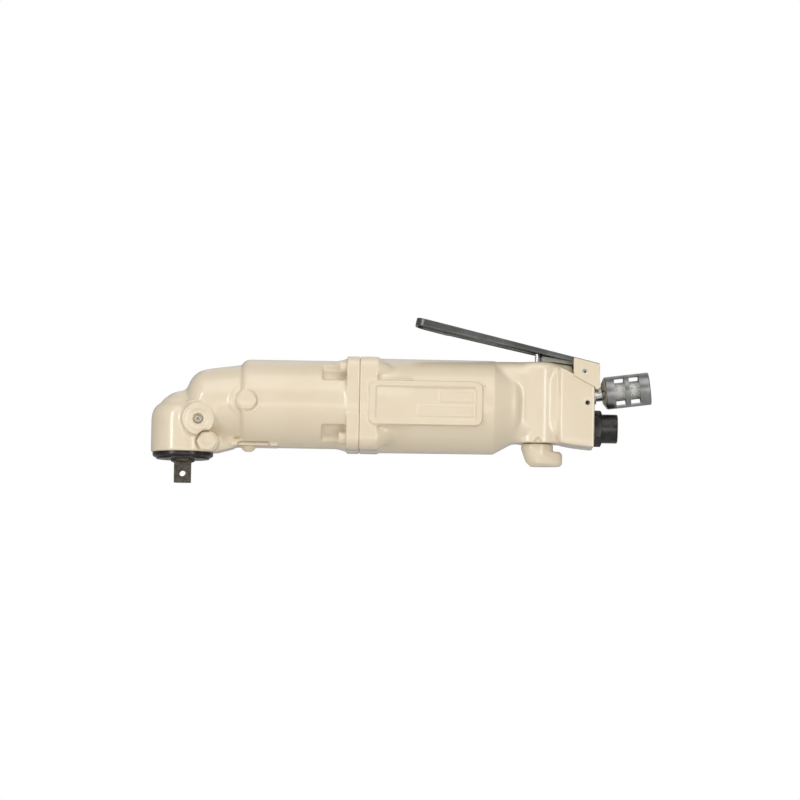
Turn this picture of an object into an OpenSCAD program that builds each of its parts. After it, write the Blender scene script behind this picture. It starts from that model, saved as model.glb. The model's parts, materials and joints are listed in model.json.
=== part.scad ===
// Angle pulse wrench: an air motor drives an oil pulse unit, which turns a
// square drive through a pair of bevel gears. The origin is the centre of the
// square drive's end face, +Z runs up the drive axis and +X back to the inlet.

/* [Square drive] */
// Side of the square drive
drive_side = 9.5; // [9:0.1:11]
// Length of the square drive
drive_len = 11; // [9:0.5:14]
// Diameter of the cross hole through the square drive
drive_hole_d = 3.6; // [2.6:0.2:4.2]

/* [Angle head] */
// Outside diameter of the head round the drive axis
head_d = 36.6; // [36:0.2:41]
// Height of the barrel axis above the lower face of the head
head_to_axis = 28.6; // [28:0.2:31]
// Visible height of the ring nut under the head
ring_nut_h = 3.8; // [3:0.2:6]

/* [Bevel gears] */
// Teeth of the gear on the drive spindle
gear_teeth = 18; // [16:1:18]
// Teeth of the pinion on the pulse unit's shaft
pinion_teeth = 14; // [12:1:14]
// Pitch diameter of both gears over their teeth
tooth_module = 1.25; // [1.15:0.05:1.25]

/* [Front case] */
// Distance from the drive axis to the joint face of the two cases
case_reach = 100.3; // [99:0.5:112]
// Outside diameter of the front barrel
front_barrel_d = 50.2; // [49:0.2:53]
// Side of the square flange
flange_side = 52.8; // [52:0.2:58]
// Thickness of the flange
flange_t = 7.4; // [6:0.2:10]
// Distance between neighbouring flange screws
screw_pitch = 40.4; // [39.6:0.2:42]

/* [Motor housing] */
// Outside diameter of the motor barrel
motor_d = 54; // [53:0.5:60]
// Distance from the joint face to the valve axis
valve_reach = 101.3; // [100:0.5:112]
// Diameter of the upright valve boss
valve_boss_d = 29; // [28:0.5:31]
// Height of the valve boss above the barrel axis
valve_boss_rise = 26; // [25:0.2:27]
// Distance from the valve axis to the rear face
block_reach = 32.1; // [31.5:0.2:38]
// Width of the rear block
block_w = 31; // [30:0.5:34]

/* [Air motor] */
// Length of the rotor cylinder
liner_len = 50; // [44:1:51]
// Bore of the rotor cylinder
liner_bore = 36; // [34:0.5:36.5]
// Number of vanes
vane_count = 5; // [4:1:6]
// Thickness of a vane
vane_t = 1.9; // [1.5:0.1:2.4]

/* [Pulse unit] */
// Outside diameter of the pulse drum
drum_d = 41; // [39:0.5:41.5]
// Length of the oil chamber in the drum
oil_len = 36; // [32:1:36]
// Thickness of a pulse blade
blade_t = 3; // [2:0.2:3.6]

/* [Throttle] */
// Length of the throttle lever ahead of its pin
lever_len = 100; // [90:1:110]
// Outside width of the throttle lever
lever_w = 22; // [20:0.5:22.5]
// Thickness of the lever's sheet
lever_sheet = 1.6; // [1.2:0.1:1.8]
// Slope of the released lever, in degrees
lever_slope = 13.4; // [13:0.1:15]
// Swing of the lever from released to fully pressed, in degrees
lever_swing = 4.5; // [3:0.1:4.5]
// Diameter of the lever pin
lever_pin_d = 3; // [2.5:0.1:3.2]
// Diameter of the throttle push pin
push_pin_d = 4; // [3.4:0.1:4.2]

/* [Reversing knob] */
// Diameter of the knob's disc
knob_d = 18.2; // [17:0.2:19]
// Height of the knob below the housing
knob_h = 12.6; // [11.6:0.2:14]
// Reach of the knob's thumb piece from its axis
knob_reach = 14.4; // [13:0.2:15]

/* [Exhaust silencer] */
// Outside diameter of the silencer sleeve
sleeve_d = 18.5; // [17.5:0.5:19.5]
// Length of the slotted silencer sleeve
sleeve_len = 25.4; // [25:0.2:30]
// Width of each exhaust window along the sleeve
window_w = 5.7; // [4:0.1:6]
// Spacing of the two rows of windows
window_pitch = 8.4; // [7.6:0.1:9]
// Upward tilt of the silencer, in degrees
silencer_tilt = 7.5; // [6:0.5:9]

/* [Air inlet] */
// Width across the flats of the inlet bushing
inlet_hex = 18; // [17:0.5:18.5]
// Outside diameter of the inlet bushing's collar
inlet_collar_d = 16.5; // [15.5:0.1:17]
// Bore of the inlet thread
inlet_bore_d = 11.45; // [11.2:0.05:11.8]

/* [Hidden] */

// Facets of a full circle, and of a circle inside a hull
$fn = 96;
hull_fn = 32;
// Overrun of every cut past the face it opens
over = 1;
// Clearances of fixed seats, of running fits and of castings round moving pieces
seat_gap = 0.02;
run_gap = 0.05;
free_gap = 0.3;
body_gap = 0.5;
// Small chamfer on turned edges
edge = 0.5;

// Drive stack, from the end of the square drive upwards
drive_nose_share = 0.62;
drive_hole_share = 0.46;
drive_hole_flare = 1.3;
drive_flare_depth = 0.5;
collar_d = 13.6;
collar_h = 2.2;
collar_root_h = 1;
ring_nut_z = drive_len + collar_h;
head_z = ring_nut_z + ring_nut_h;
axis_z = head_z + head_to_axis;
ring_nut_inset = 1;
ring_nut_d = head_d - 2 * ring_nut_inset;
ring_cone_h = 1;
ring_cone_inset = 8.5;
ring_thread_d = 30.4;
ring_thread_h = 4.4;
spanner_hole_d = 2.6;
spanner_hole_inset = 4.4;
spindle_d = 12;
spindle_flange_d = 14;
spindle_flange_h = 1;
bearing_od = 28;
bearing_w = 8;
bearing_z = head_z + ring_thread_h;
shoulder_z = bearing_z + bearing_w;
seal_d = 22;
seal_h = 3.2;
stub_d = 6;
bush_wall = 2;
bush_h = 4;
bush_rise = 1.2;
bush_z = axis_z + bush_rise;
gear_nut_af = 9.6;
gear_nut_h = 2.2;

// Bevel pair: both pitch cones meet where the drive axis crosses the barrel axis
gear_r = gear_teeth * tooth_module / 2;
pinion_r = pinion_teeth * tooth_module / 2;
cone_len = norm([gear_r, pinion_r]);
gear_cone = atan(gear_r / pinion_r);
pinion_cone = atan(pinion_r / gear_r);
toe_share = 0.67;
addendum = 0.8 * tooth_module;
dedendum = 1.15 * tooth_module;
tip_angle = atan(addendum / cone_len);
root_angle = atan(dedendum / cone_len);
tooth_share = 0.46;
flank_angle = 20;
gear_z = axis_z - pinion_r;
gear_back_t = 1.6;
gear_hub_d = 16;
gear_seat_d = 13;
gear_seat_rise = 1.2;
gear_top_z = gear_z + pinion_r * (1 - toe_share) + gear_seat_rise;
gear_room_d = 2 * (gear_r + addendum * cos(gear_cone) + body_gap);
gear_room_top = axis_z - 0.6 * pinion_r;
spline_d = 11;
spline_key = 2.4;
spline_step = 1;
pinion_shank_d = 12;
pinion_hub_len = 3;
pinion_hub_d = 13.2;
socket_af = 8;
socket_len = 9;
socket_play = 0.5;

// Barrel stations, measured back from the drive axis
chamber_x = 41;
chamber_d = drum_d + 2 * body_gap;
circlip_t = 1.2;
circlip_depth = 1;
circlip_rim = 2.5;
circlip_mouth = 4;
bearing_setback = 3.6;
front_bearing_x = chamber_x - bearing_setback - bearing_w;
front_bearing_end = front_bearing_x + bearing_w;
needle_od = 22;
needle_w = 8.4;
needle_x = 17.4;
pinion_bay_gap = 1;
pinion_bay_d = 2 * (pinion_r + addendum * cos(pinion_cone) + pinion_bay_gap);
pinion_bay_x = gear_r * toe_share - pinion_bay_gap;
lid_t = 7;
rear_hub_d = 17;
rear_hub_len = 6.4;
hub_floor = 1.2;
drum_setback = 1.3;
drum_x = chamber_x + drum_setback;
oil_x = drum_x + lid_t;
rear_lid_x = oil_x + oil_len;
hub_end_x = rear_lid_x + lid_t + rear_hub_len;
seal_r = 10.6;
oil_lobe = 3.2;
drum_groove_d = 3;
shaft_web_d = 16;
shaft_rear_d = 9;
blade_inner_r = 3;
blade_gap = 0.15;
relief_d = 4;
relief_len = 7;
relief_socket_af = 2;
relief_x = drum_x + lid_t / 2;

// Air motor stations, measured back from the drive axis
plate_t = 10;
motor_wall = 4.6;
motor_bore = motor_d - 2 * motor_wall;
motor_start = case_reach + seat_gap;
liner_x = motor_start + plate_t;
rear_plate_x = liner_x + liner_len;
rotor_play = 5;
rotor_d = liner_bore - rotor_play;
rotor_side_gap = 0.15;
eccentricity = rotor_play / 2 - rotor_side_gap;
rotor_shaft_d = 10;
rotor_bearing_od = 26;
rotor_bearing_w = 8;
vane_depth = 7.6;
vane_end_gap = 0.2;
port_hole_d = 3;
port_angles = [-30, -15, 0, 15, 30];
wave_t = 1;
wave_rim = 4;
motor_end = rear_plate_x + plate_t + wave_t;

// Outside of the front case
head_shoulder_r = 9;
head_shoulder_rise = 0.4;
head_cap_d = 24;
head_cap_r = 5;
head_cap_rise = 7.1;
nose_x = 2;
nose_corner = 6;
nose_d = 37.4;
waist_d = 44.4;
barrel_x = 32.5;
barrel_corner = 5;
flare_len = 5.5;
ear_r = 7;
pocket_len = 14;
pocket_half = 12.6;
pocket_wall = 1.4;
nipple_x = 9;
nipple_drop = 10.5;
nipple_boss_d = 18.4;
nipple_boss_y = 21;
nipple_ring_d = 10;
nipple_ring_w = 0.8;
nipple_ring_depth = 0.5;
nipple_d = 5.6;
nipple_body_len = 6;
nipple_tip = 0.8;
nipple_hole_d = 1.2;
plug_x = 14.1;
plug_drop = 23;
plug_af = 10;
plug_face_y = 15.2;
plug_head_t = 3.4;
plug_seat_d = 13;
plug_spot_d = 12.4;
plug_thread_d = 6;
plug_thread_len = 5;
plug_mark_d = 4.8;
plug_mark_depth = 0.4;
port_x = 36.5;
port_spot_d = 17;
port_spot_rim = 0.6;
port_spot_depth = 1.6;
port_face_y = front_barrel_d / 2 - port_spot_depth;
port_af = 9.6;
port_head_t = 1.8;
port_thread_d = 8;
port_thread_len = 6;
pad_x = 27.4;
pad_len = 27;
pad_w = 21;
pad_drop = 24.7;
pad_z = axis_z - pad_drop;
cover_x = 31.6;
cover_len = 17.4;
cover_w = 17;
cover_t = 1.6;
cover_sink = 0.5;
cover_z = pad_z + cover_sink;
cover_screw_x = 37.3;
cover_screw_d = 4;
cover_screw_len = 5;
cover_head_d = 9;
cover_head_h = 3.6;
access_hole_d = 6;
screw_d = 4;
screw_head_d = 7;
screw_head_h = 4;
screw_reach = 9;
screw_socket_af = 3;
screw_socket_h = 2;

// Outside of the motor housing
ear_flat_len = 10;
ear_len = 22;
ear_share = 0.74;
taper_back = 76;
shoulder_back = 90.5;
barrel_draft = 0.3;
shoulder_share = 0.77;
shoulder_r = 4;
valve_x = case_reach + valve_reach;
rear_x = valve_x + block_reach;
neck_corner = 10;
neck_start_x = case_reach + taper_back - valve_boss_d;
boss_drop = 20.2;
boss_base_z = axis_z - boss_drop;
boss_top_z = axis_z + valve_boss_rise;
boss_corner = 5;
crown_w = 24;
crown_level = 8.6;
crown_fall = 1.4;
block_front_x = valve_x + 0.8 * valve_boss_d / 2;
block_mid_x = (block_front_x + rear_x) / 2;
block_slope = 28;
block_top_rise = 12.8;
block_foot_drop = 22.8;
block_belly = 1;
block_top_z = axis_z + block_top_rise;
block_foot_z = axis_z - block_foot_drop;
block_corner = 3;
panel_back = 5.4;
panel_x = case_reach + panel_back;
panel_len = 64;
panel_h = 24.8;
panel_corner = 4;
panel_proud = 0.5;
panel_rim = 3.6;
panel_depth = 0.6;
panel_y = motor_d / 2 + panel_proud;
band_h = 6.2;
band_offset = 4.2;
band_lens = [31.4, 19.4];
band_inset = 5.3;
band_proud = 0.3;
band_corner = 1;
notch_w = 4.8;
notch_h = 3.4;
notch_depth = 1.6;

// Throttle stack on the valve axis
valve_bore_d = 14;
guide_d = 8;
guide_len = 9;
seat_rise = 6;
seat_z = axis_z + seat_rise;
seat_bush_rise = 9;
seat_bush_top = seat_z + seat_bush_rise;
seat_bush_roof = 3;
seat_hole_d = 7;
poppet_d = 9;
poppet_h = 3;
poppet_cone_h = 1.5;
stem_d = 3.2;
valve_room_d = 11;
spring_wire = 0.8;
spring_turns = 4;
spring_od = 7.4;
spring_len = 8.6;
bush_foot_z = seat_z - poppet_h - spring_len;
spring_plate_t = 1.4;
spring_plate_z = bush_foot_z - spring_plate_t;
valve_port_d = 3.6;
valve_port_rise = 3.4;
reverse_room_h = 3.6;
reverse_top_z = spring_plate_z - reverse_room_h;
bypass_back = 10.2;
feed_d = 6;
motor_feed_d = 4;
motor_feed_y = 4.2;
motor_feed_rise = 6;
motor_feed_z = boss_base_z + motor_feed_rise;
circlip_inset = 1;
circlip_z = boss_base_z + circlip_inset;
reverse_foot_z = circlip_z + circlip_t + free_gap;

// Knob under the valve
knob_disc_h = 4;
knob_screw_d = 2.5;
knob_screw_head_d = 5.4;
knob_screw_head_h = 2.6;
knob_screw_bite = 2.8;
knob_screw_sink = 3;
knob_socket_af = 2;
knob_socket_h = 1.4;
knob_wide_share = 0.98;
knob_mid_share = 0.84;
knob_foot_share = 0.6;
knob_mid_shift = 0.4;
knob_foot_shift = 1;
knob_edge = 1.5;
knob_tip_r = 4.6;

// Lever and bracket; the lever turns about its pin
pivot_inset = 6;
pivot_rise = 20.3;
pivot_x = rear_x - pivot_inset;
pivot_z = axis_z + pivot_rise;
lever_top = 7.2;
lever_seat = lever_top - lever_sheet;
lever_band = 4.5;
lever_tail = 7.2;
lever_lobe_r = 2.6;
lever_tip_r = 6;
lever_deep_from = 16;
lever_deep_to = 6.5;
lever_deep_drop = 0.8;
lever_heel = 4.8;
pin_dome = 0.8;
pin_gap = 0.1;
bracket_gap = 0.3;
bracket_wall = 4.6;
bracket_w = lever_w + 2 * (bracket_gap + bracket_wall);
bracket_inset = 6.4;
bracket_front_x = pivot_x - bracket_inset;
bracket_floor = 2;
bracket_back = 2.6;
bracket_back_rise = 1.3;
bracket_top_drop = 0.8;
bracket_lip = 1.4;
bracket_tail = 2.3;
bracket_screw_d = 3;
bracket_screw_head = 5.6;
bracket_screw_y = 6.4;
bracket_screw_inset = 2.4;
bracket_screw_len = 9;
crown_end_x = bracket_front_x - free_gap;
stop_w = 14;
stop_seat = 0.5;
stop_rise = 0.25;
stop_screw_x = (valve_x + crown_level + crown_end_x) / 2;
stop_screw_d = 3;
stop_screw_head_d = 5.4;
stop_screw_head_h = 1.6;
stop_screw_len = 7;

// Silencer, along its own tilted axis from just behind the rear face
silencer_rise = 8.6;
silencer_setback = 1;
silencer_x = rear_x + silencer_setback;
silencer_z = axis_z + silencer_rise;
neck_d = 8.2;
neck_free = 3.4;
neck_bore_d = 4.4;
spigot_d = 11.2;
spigot_len = 11;
spigot_end = 0.5;
cross_pin_d = 2.4;
cross_pin_back = 5.2;
cross_pin_bite = 0.4;
cross_pin_drop = cross_pin_back * tan(silencer_tilt) + spigot_d / 2 - cross_pin_bite;
groove_play = 0.1;
head_front_d = 11.7;
head_cone_h = 2.1;
head_seat_len = 2.6;
head_end = neck_free + head_cone_h;
sleeve_wall = 1.1;
window_start = 5.3;
window_angle = 134;
element_d = 10.4;
element_edge = 0.4;
cap_t = 2.4;
cap_sink = 0.8;
cap_dish = 0.6;
cap_rim = 2;
cap_start = head_end + sleeve_len - cap_t - cap_sink;

// Air inlet
inlet_drop = 10.9;
inlet_z = axis_z - inlet_drop;
inlet_hex_t = 4.4;
inlet_collar_len = 9.1;
inlet_thread_d = 15.4;
inlet_thread_len = 11;
inlet_bore_len = 14;
inlet_edge = 0.6;
inlet_throat_d = 8;
strainer_d = 11;
strainer_t = 0.5;
strainer_len = 7;
strainer_hole_d = 1.4;

// Places a shape, drawn upwards, on the barrel axis at station x and turns it to face back
module on_barrel(x, z = axis_z) {
    translate([x, 0, z]) rotate([0, 90, 0]) children();
}

// Extrudes a section drawn in Y and Z back along X from station x
module section_back(x, len) {
    translate([x, 0, axis_z]) rotate([90, 0, 90]) linear_extrude(len) children();
}

// Extrudes a side view drawn in X and Z to the width w, centred on the middle plane
module side_view(w) {
    rotate([90, 0, 0]) linear_extrude(w, center = true) children();
}

// Places a shape, drawn outwards, on the near side at (x, z) with its foot at depth y
module on_side(x, z, y = 0) {
    translate([x, -y, z]) rotate([90, 0, 0]) children();
}

// Upright cylinder between two heights
module upright(d, low, high) {
    translate([0, 0, low]) cylinder(d = d, h = high - low);
}

// Round-cornered rectangle from exact arcs
module round_rect(w, h, r) {
    square([w - 2 * r, h], center = true);
    square([w, h - 2 * r], center = true);
    for (sx = [-1, 1], sy = [-1, 1]) translate([sx * (w / 2 - r), sy * (h / 2 - r)]) circle(r);
}

// Half outline of a turned boss with one rounded upper edge
module turned_outline(r, h, corner) {
    square([r, h - corner]);
    square([r - corner, h]);
    translate([r - corner, h - corner]) circle(corner);
}

// Upright hexagon or other regular prism of width af across its flats
module flats(af, h, sides = 6) {
    cylinder(d = af / cos(180 / sides), h = h, $fn = sides);
}

// Hexagon head whose upper corners are turned off
module hex_head(af, h) {
    intersection() {
        flats(af, h);
        cylinder(r1 = af / 2 + 2 * h, r2 = af / 2, h = h);
    }
}

// Plain ring with chamfered outer edges
module ring(od, id, h, chamfer = 0) {
    rotate_extrude() polygon([
        [id / 2, 0], [od / 2 - chamfer, 0], [od / 2, chamfer],
        [od / 2, h - chamfer], [od / 2 - chamfer, h], [id / 2, h]
    ]);
}

// Sealed ball bearing: two races with a recessed shield between them
module bearing(od, id, w) {
    race = (od - id) / 8;
    sink = w / 16;
    rotate_extrude() polygon([
        [id / 2, 0], [id / 2 + race, 0], [id / 2 + race, sink], [od / 2 - race, sink], [od / 2 - race, 0],
        [od / 2 - edge, 0], [od / 2, edge], [od / 2, w - edge], [od / 2 - edge, w], [od / 2 - race, w],
        [od / 2 - race, w - sink], [id / 2 + race, w - sink], [id / 2 + race, w], [id / 2, w]
    ]);
}

// Retaining ring for a bore, sprung into its groove
module circlip(bore) {
    difference() {
        ring(bore + 2 * circlip_depth - 2 * seat_gap, bore - 2 * circlip_rim, circlip_t - seat_gap);
        translate([0, -circlip_mouth / 2, -over]) cube([bore, circlip_mouth, circlip_t + 2 * over]);
    }
}

// Cap screw with its head down at z = 0 and a hexagon socket in the head
module cap_screw(d, len, head_d, head_h, af, socket_h) {
    difference() {
        union() {
            cylinder(d = head_d, h = head_h);
            upright(d, head_h, head_h + len);
        }
        translate([0, 0, -over]) flats(af, socket_h + over);
    }
}

// Coil spring as one tube along a helix, drawn up from z = 0
module coil(wire, od, len, turns, steps = 12, sides = 6) {
    r = (od - wire) / 2;
    rings = turns * steps;
    rise = len - wire;
    points = [
        for (i = [0 : rings], j = [0 : sides - 1])
            let (a = 360 * i / steps, b = 360 * j / sides, q = r + wire / 2 * cos(b))
            [q * cos(a), q * sin(a), wire / 2 + rise * i / rings + wire / 2 * sin(b)]
    ];
    skin = [
        for (i = [0 : rings - 1], j = [0 : sides - 1], k = [0, 1])
            let (n = (j + 1) % sides, a = i * sides, b = a + sides)
            k == 0 ? [a + j, b + j, b + n] : [a + j, b + n, a + n]
    ];
    first = [for (j = [1 : sides - 2]) [0, j, j + 1]];
    last = [for (j = [1 : sides - 2]) [rings * sides, rings * sides + j + 1, rings * sides + j]];
    polyhedron(points, concat(skin, first, last));
}

// Section across bevel teeth: straight flanks between the root and the tip circle
module tooth_ring(teeth, pitch_r, tip_r, root_r) {
    half = 360 / teeth * tooth_share / 2;
    lean = atan((tip_r - pitch_r) * tan(flank_angle) / pitch_r);
    sink = atan((pitch_r - root_r) * tan(flank_angle) / pitch_r);
    corners = [[root_r, -half - sink], [tip_r, -half + lean], [tip_r, half - lean], [root_r, half + sink]];
    polygon([
        for (i = [0 : teeth - 1], c = corners)
            let (a = 360 / teeth * i + c[1]) c[0] * [cos(a), sin(a)]
    ]);
}

// Straight bevel teeth that shrink towards the cone's point at apex_h above z = 0. The
// wide end is trimmed to the back cone, square to the pitch cone at the pitch circle.
module bevel_teeth(teeth, pitch_r, apex_h, cone) {
    drop = dedendum * sin(cone);
    heel_h = apex_h + drop;
    toe_h = apex_h * toe_share;
    tip_r = heel_h * tan(cone + tip_angle);
    root_r = heel_h * tan(cone - root_angle);
    foot_r = pitch_r - dedendum * cos(cone) - edge;
    rim_r = pitch_r + 2 * addendum * cos(cone);
    intersection() {
        translate([0, 0, -drop]) linear_extrude(heel_h - toe_h, scale = toe_h / heel_h)
            tooth_ring(teeth, heel_h * tan(cone), tip_r, root_r);
        rotate_extrude() polygon([
            [0, -drop - over], [foot_r - over / tan(cone), -drop - over],
            [rim_r - edge, 2 * addendum * sin(cone)], [rim_r - edge, apex_h], [0, apex_h]
        ]);
    }
}

// Splined shaft section: a core with four keys
module spline(grow = 0) {
    circle(d = spline_d - 2 * spline_step + 2 * grow);
    for (a = [0, 90]) rotate(a) square([spline_d + 2 * grow, spline_key + 2 * grow], center = true);
}

// Front case

module head_form() {
    r = head_d / 2;
    rim_h = head_to_axis + head_shoulder_rise - head_shoulder_r;
    rotate_extrude() {
        polygon([[0, 0], [r - edge, 0], [r, edge], [r, rim_h], [0, rim_h]]);
        translate([0, edge]) turned_outline(r, rim_h + head_shoulder_r - edge, head_shoulder_r);
    }
    rotate_extrude() turned_outline(head_cap_d / 2, head_to_axis + head_cap_rise, head_cap_r);
}

module barrel_form() {
    r = front_barrel_d / 2;
    collar_r = motor_d / 2 - edge;
    flange_x = case_reach - flange_t;
    rotate_extrude() {
        polygon([
            [0, nose_x], [nose_d / 2 - nose_corner, nose_x],
            [nose_d / 2 - nose_corner, nose_x + nose_corner], [nose_d / 2, nose_x + nose_corner],
            [waist_d / 2, barrel_x + barrel_corner / 2], [waist_d / 2, barrel_x + barrel_corner],
            [r, barrel_x + barrel_corner], [r, flange_x - flare_len],
            [collar_r, flange_x], [collar_r, case_reach], [0, case_reach]
        ]);
        translate([nose_d / 2 - nose_corner, nose_x + nose_corner]) circle(nose_corner);
        translate([r - barrel_corner, barrel_x + barrel_corner]) circle(barrel_corner);
    }
}

module flange_outline() {
    corner = flange_side / 2 - ear_r;
    circle(d = motor_d);
    square([flange_side, 2 * corner], center = true);
    square([2 * corner, flange_side], center = true);
    for (sy = [-1, 1], sz = [-1, 1]) translate([sy * corner, sz * corner]) circle(ear_r);
}

module at_flange_screws(x) {
    for (sy = [-1, 1], sz = [-1, 1])
        translate([x, sy * screw_pitch / 2, axis_z + sz * screw_pitch / 2]) rotate([0, 90, 0]) children();
}

module screw_pockets() {
    x = case_reach - flange_t - pocket_len;
    difference() {
        for (a = [0 : 90 : 270]) translate([x, 0, axis_z]) rotate([a, 0, 0])
            translate([0, pocket_half, pocket_half]) cube([pocket_len, flange_side, flange_side]);
        on_barrel(x - over) cylinder(d = chamber_d + 2 * pocket_wall, h = pocket_len + 2 * over);
    }
}

module front_case_outside() {
    translate([0, 0, head_z]) head_form();
    on_barrel(0) barrel_form();
    section_back(case_reach - flange_t, flange_t) flange_outline();
    on_side(nipple_x, axis_z - nipple_drop) cylinder(d = nipple_boss_d, h = nipple_boss_y);
    on_side(plug_x, axis_z - plug_drop) cylinder(d = plug_seat_d, h = plug_face_y);
    on_side(port_x, axis_z) cylinder(d = port_spot_d + 2 * port_spot_rim, h = port_face_y);
    translate([pad_x, -pad_w / 2, pad_z]) cube([pad_len, pad_w, pad_drop - chamber_d / 2]);
}

module gear_room() {
    bush_d = stub_d + 2 * bush_wall + 2 * seat_gap;
    upright(ring_thread_d, head_z - over, bearing_z);
    upright(bearing_od + 2 * seat_gap, head_z, shoulder_z);
    upright(gear_room_d, shoulder_z - over, gear_room_top);
    translate([0, 0, gear_room_top])
        cylinder(d1 = gear_room_d, d2 = bush_d + 2 * bush_wall, h = bush_z - gear_room_top);
    upright(bush_d, gear_room_top, bush_z + bush_h);
}

module pulse_room() {
    seat_d = bearing_od + 2 * seat_gap;
    on_barrel(pinion_bay_x) cylinder(d = pinion_bay_d, h = needle_x - pinion_bay_x + over);
    on_barrel(needle_x) cylinder(d = needle_od + 2 * seat_gap, h = front_bearing_x - needle_x + over);
    on_barrel(front_bearing_x) cylinder(d = seat_d, h = chamber_x - front_bearing_x + over);
    on_barrel(front_bearing_end) cylinder(d = bearing_od + 2 * circlip_depth, h = circlip_t);
    on_barrel(chamber_x) cylinder(d = chamber_d, h = case_reach);
}

module side_bore(x, z, face_y, d, depth) {
    on_side(x, z, face_y - depth) cylinder(d = d, h = depth + over);
}

module cover_recess() {
    screw_top = cover_z + cover_t + cover_screw_len + free_gap;
    translate([cover_x - seat_gap, -cover_w / 2 - seat_gap, pad_z - over])
        cube([cover_len + 2 * seat_gap, cover_w + 2 * seat_gap, cover_sink + cover_t + over]);
    translate([cover_screw_x, 0, 0]) upright(cover_screw_d + 2 * seat_gap, pad_z, screw_top);
    translate([relief_x, 0, 0]) upright(access_hole_d, pad_z, axis_z - seal_r);
}

module front_case() {
    nipple_z = axis_z - nipple_drop;
    color("#e6dcc4") difference() {
        front_case_outside();
        upright(head_d + 2 * plug_seat_d, ring_nut_z - over, head_z);
        gear_room();
        pulse_room();
        screw_pockets();
        at_flange_screws(case_reach - flange_t - over)
            cylinder(d = screw_d + 2 * run_gap, h = flange_t + 2 * over);
        side_bore(nipple_x, nipple_z, nipple_boss_y, nipple_d, nipple_body_len);
        on_side(nipple_x, nipple_z, nipple_boss_y - nipple_ring_depth)
            ring(nipple_ring_d + 2 * nipple_ring_w, nipple_ring_d, nipple_ring_depth + over);
        on_side(plug_x, axis_z - plug_drop, plug_face_y) cylinder(d = plug_spot_d, h = nipple_boss_y);
        side_bore(plug_x, axis_z - plug_drop, plug_face_y, plug_thread_d + 2 * seat_gap, plug_thread_len);
        on_side(port_x, axis_z, port_face_y) cylinder(d = port_spot_d, h = front_barrel_d);
        side_bore(port_x, axis_z, port_face_y, port_thread_d + 2 * seat_gap, port_thread_len);
        cover_recess();
    }
}

module head_ring_nut() {
    r = ring_nut_d / 2;
    top = ring_nut_h + ring_thread_h;
    color("#1c1e22") translate([0, 0, ring_nut_z]) difference() {
        union() {
            rotate_extrude() polygon([
                [0, 0], [r - ring_cone_inset, 0], [r - 2 * edge, ring_cone_h],
                [r, ring_cone_h + 2 * edge], [r, ring_nut_h], [0, ring_nut_h]
            ]);
            cylinder(d = ring_thread_d - 2 * seat_gap, h = top);
        }
        upright(collar_d + 2 * free_gap, -over, top);
        upright(seal_d + 2 * seat_gap, top - seal_h, top + over);
        for (a = [45 : 90 : 315]) rotate(a) translate([r - spanner_hole_inset, 0, 0])
            upright(spanner_hole_d, -over, ring_nut_h - ring_cone_h);
    }
}

module spindle_seal() {
    color("#2a2a2c") translate([0, 0, bearing_z - seal_h])
        ring(seal_d, collar_d + 2 * run_gap, seal_h, edge);
}

module spindle_bearing() {
    color("#b9bcc0") translate([0, 0, bearing_z]) bearing(bearing_od, spindle_d + 2 * run_gap, bearing_w);
}

module spindle_top_bush() {
    color("#b08d57") translate([0, 0, bush_z]) ring(stub_d + 2 * bush_wall, stub_d + 2 * run_gap, bush_h);
}

module pinion_needle_bearing() {
    color("#b9bcc0") on_barrel(needle_x) ring(needle_od, pinion_shank_d + 2 * run_gap, needle_w, edge);
}

module pinion_ball_bearing() {
    color("#b9bcc0") on_barrel(front_bearing_x) bearing(bearing_od, pinion_shank_d + 2 * run_gap, bearing_w);
}

module pinion_bearing_circlip() {
    color("#3a3a3c") on_barrel(front_bearing_end) circlip(bearing_od);
}

module grease_nipple() {
    d = nipple_d - 2 * seat_gap;
    color("#9a9a94") on_side(nipple_x, axis_z - nipple_drop, nipple_boss_y - nipple_body_len) difference() {
        union() {
            cylinder(d = d, h = nipple_body_len);
            translate([0, 0, nipple_body_len]) cylinder(d1 = d, d2 = d - 2 * nipple_tip, h = nipple_tip);
        }
        upright(nipple_hole_d, nipple_body_len - nipple_tip, nipple_body_len + nipple_tip + over);
    }
}

module gear_case_plug() {
    color("#e6dcc4") on_side(plug_x, axis_z - plug_drop, plug_face_y - plug_thread_len) {
        cylinder(d = plug_thread_d, h = plug_thread_len);
        translate([0, 0, plug_thread_len]) difference() {
            hex_head(plug_af, plug_head_t);
            upright(plug_mark_d, plug_head_t - plug_mark_depth, plug_head_t + over);
        }
    }
}

module adjusting_port_plug() {
    color("#e6dcc4") on_side(port_x, axis_z, port_face_y - port_thread_len) {
        cylinder(d = port_thread_d, h = port_thread_len);
        translate([0, 0, port_thread_len]) hex_head(port_af, port_head_t);
    }
}

module cover_plate() {
    color("#e6dcc4") difference() {
        translate([cover_x, -cover_w / 2, cover_z]) cube([cover_len, cover_w, cover_t]);
        translate([cover_screw_x, 0, 0])
            upright(cover_screw_d + 2 * run_gap, cover_z - over, cover_z + cover_t + over);
    }
}

module cover_screw() {
    half = cover_head_d / 2;
    dome = (half * half + cover_head_h * cover_head_h) / (2 * cover_head_h);
    color("#e6dcc4") translate([cover_screw_x, 0, cover_z]) {
        cylinder(d = cover_screw_d, h = cover_t + cover_screw_len);
        difference() {
            translate([0, 0, dome - cover_head_h]) sphere(dome);
            translate([0, 0, 2 * dome]) cube(4 * dome, center = true);
            translate([0, 0, -cover_head_h - over]) flats(screw_socket_af, cover_head_h / 2 + over);
        }
    }
}

module flange_screws() {
    len = flange_t + screw_reach;
    color("#e6dcc4") at_flange_screws(case_reach - flange_t - screw_head_h)
        cap_screw(screw_d, len, screw_head_d, screw_head_h, screw_socket_af, screw_socket_h);
}

// Drive spindle and its gear

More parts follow.
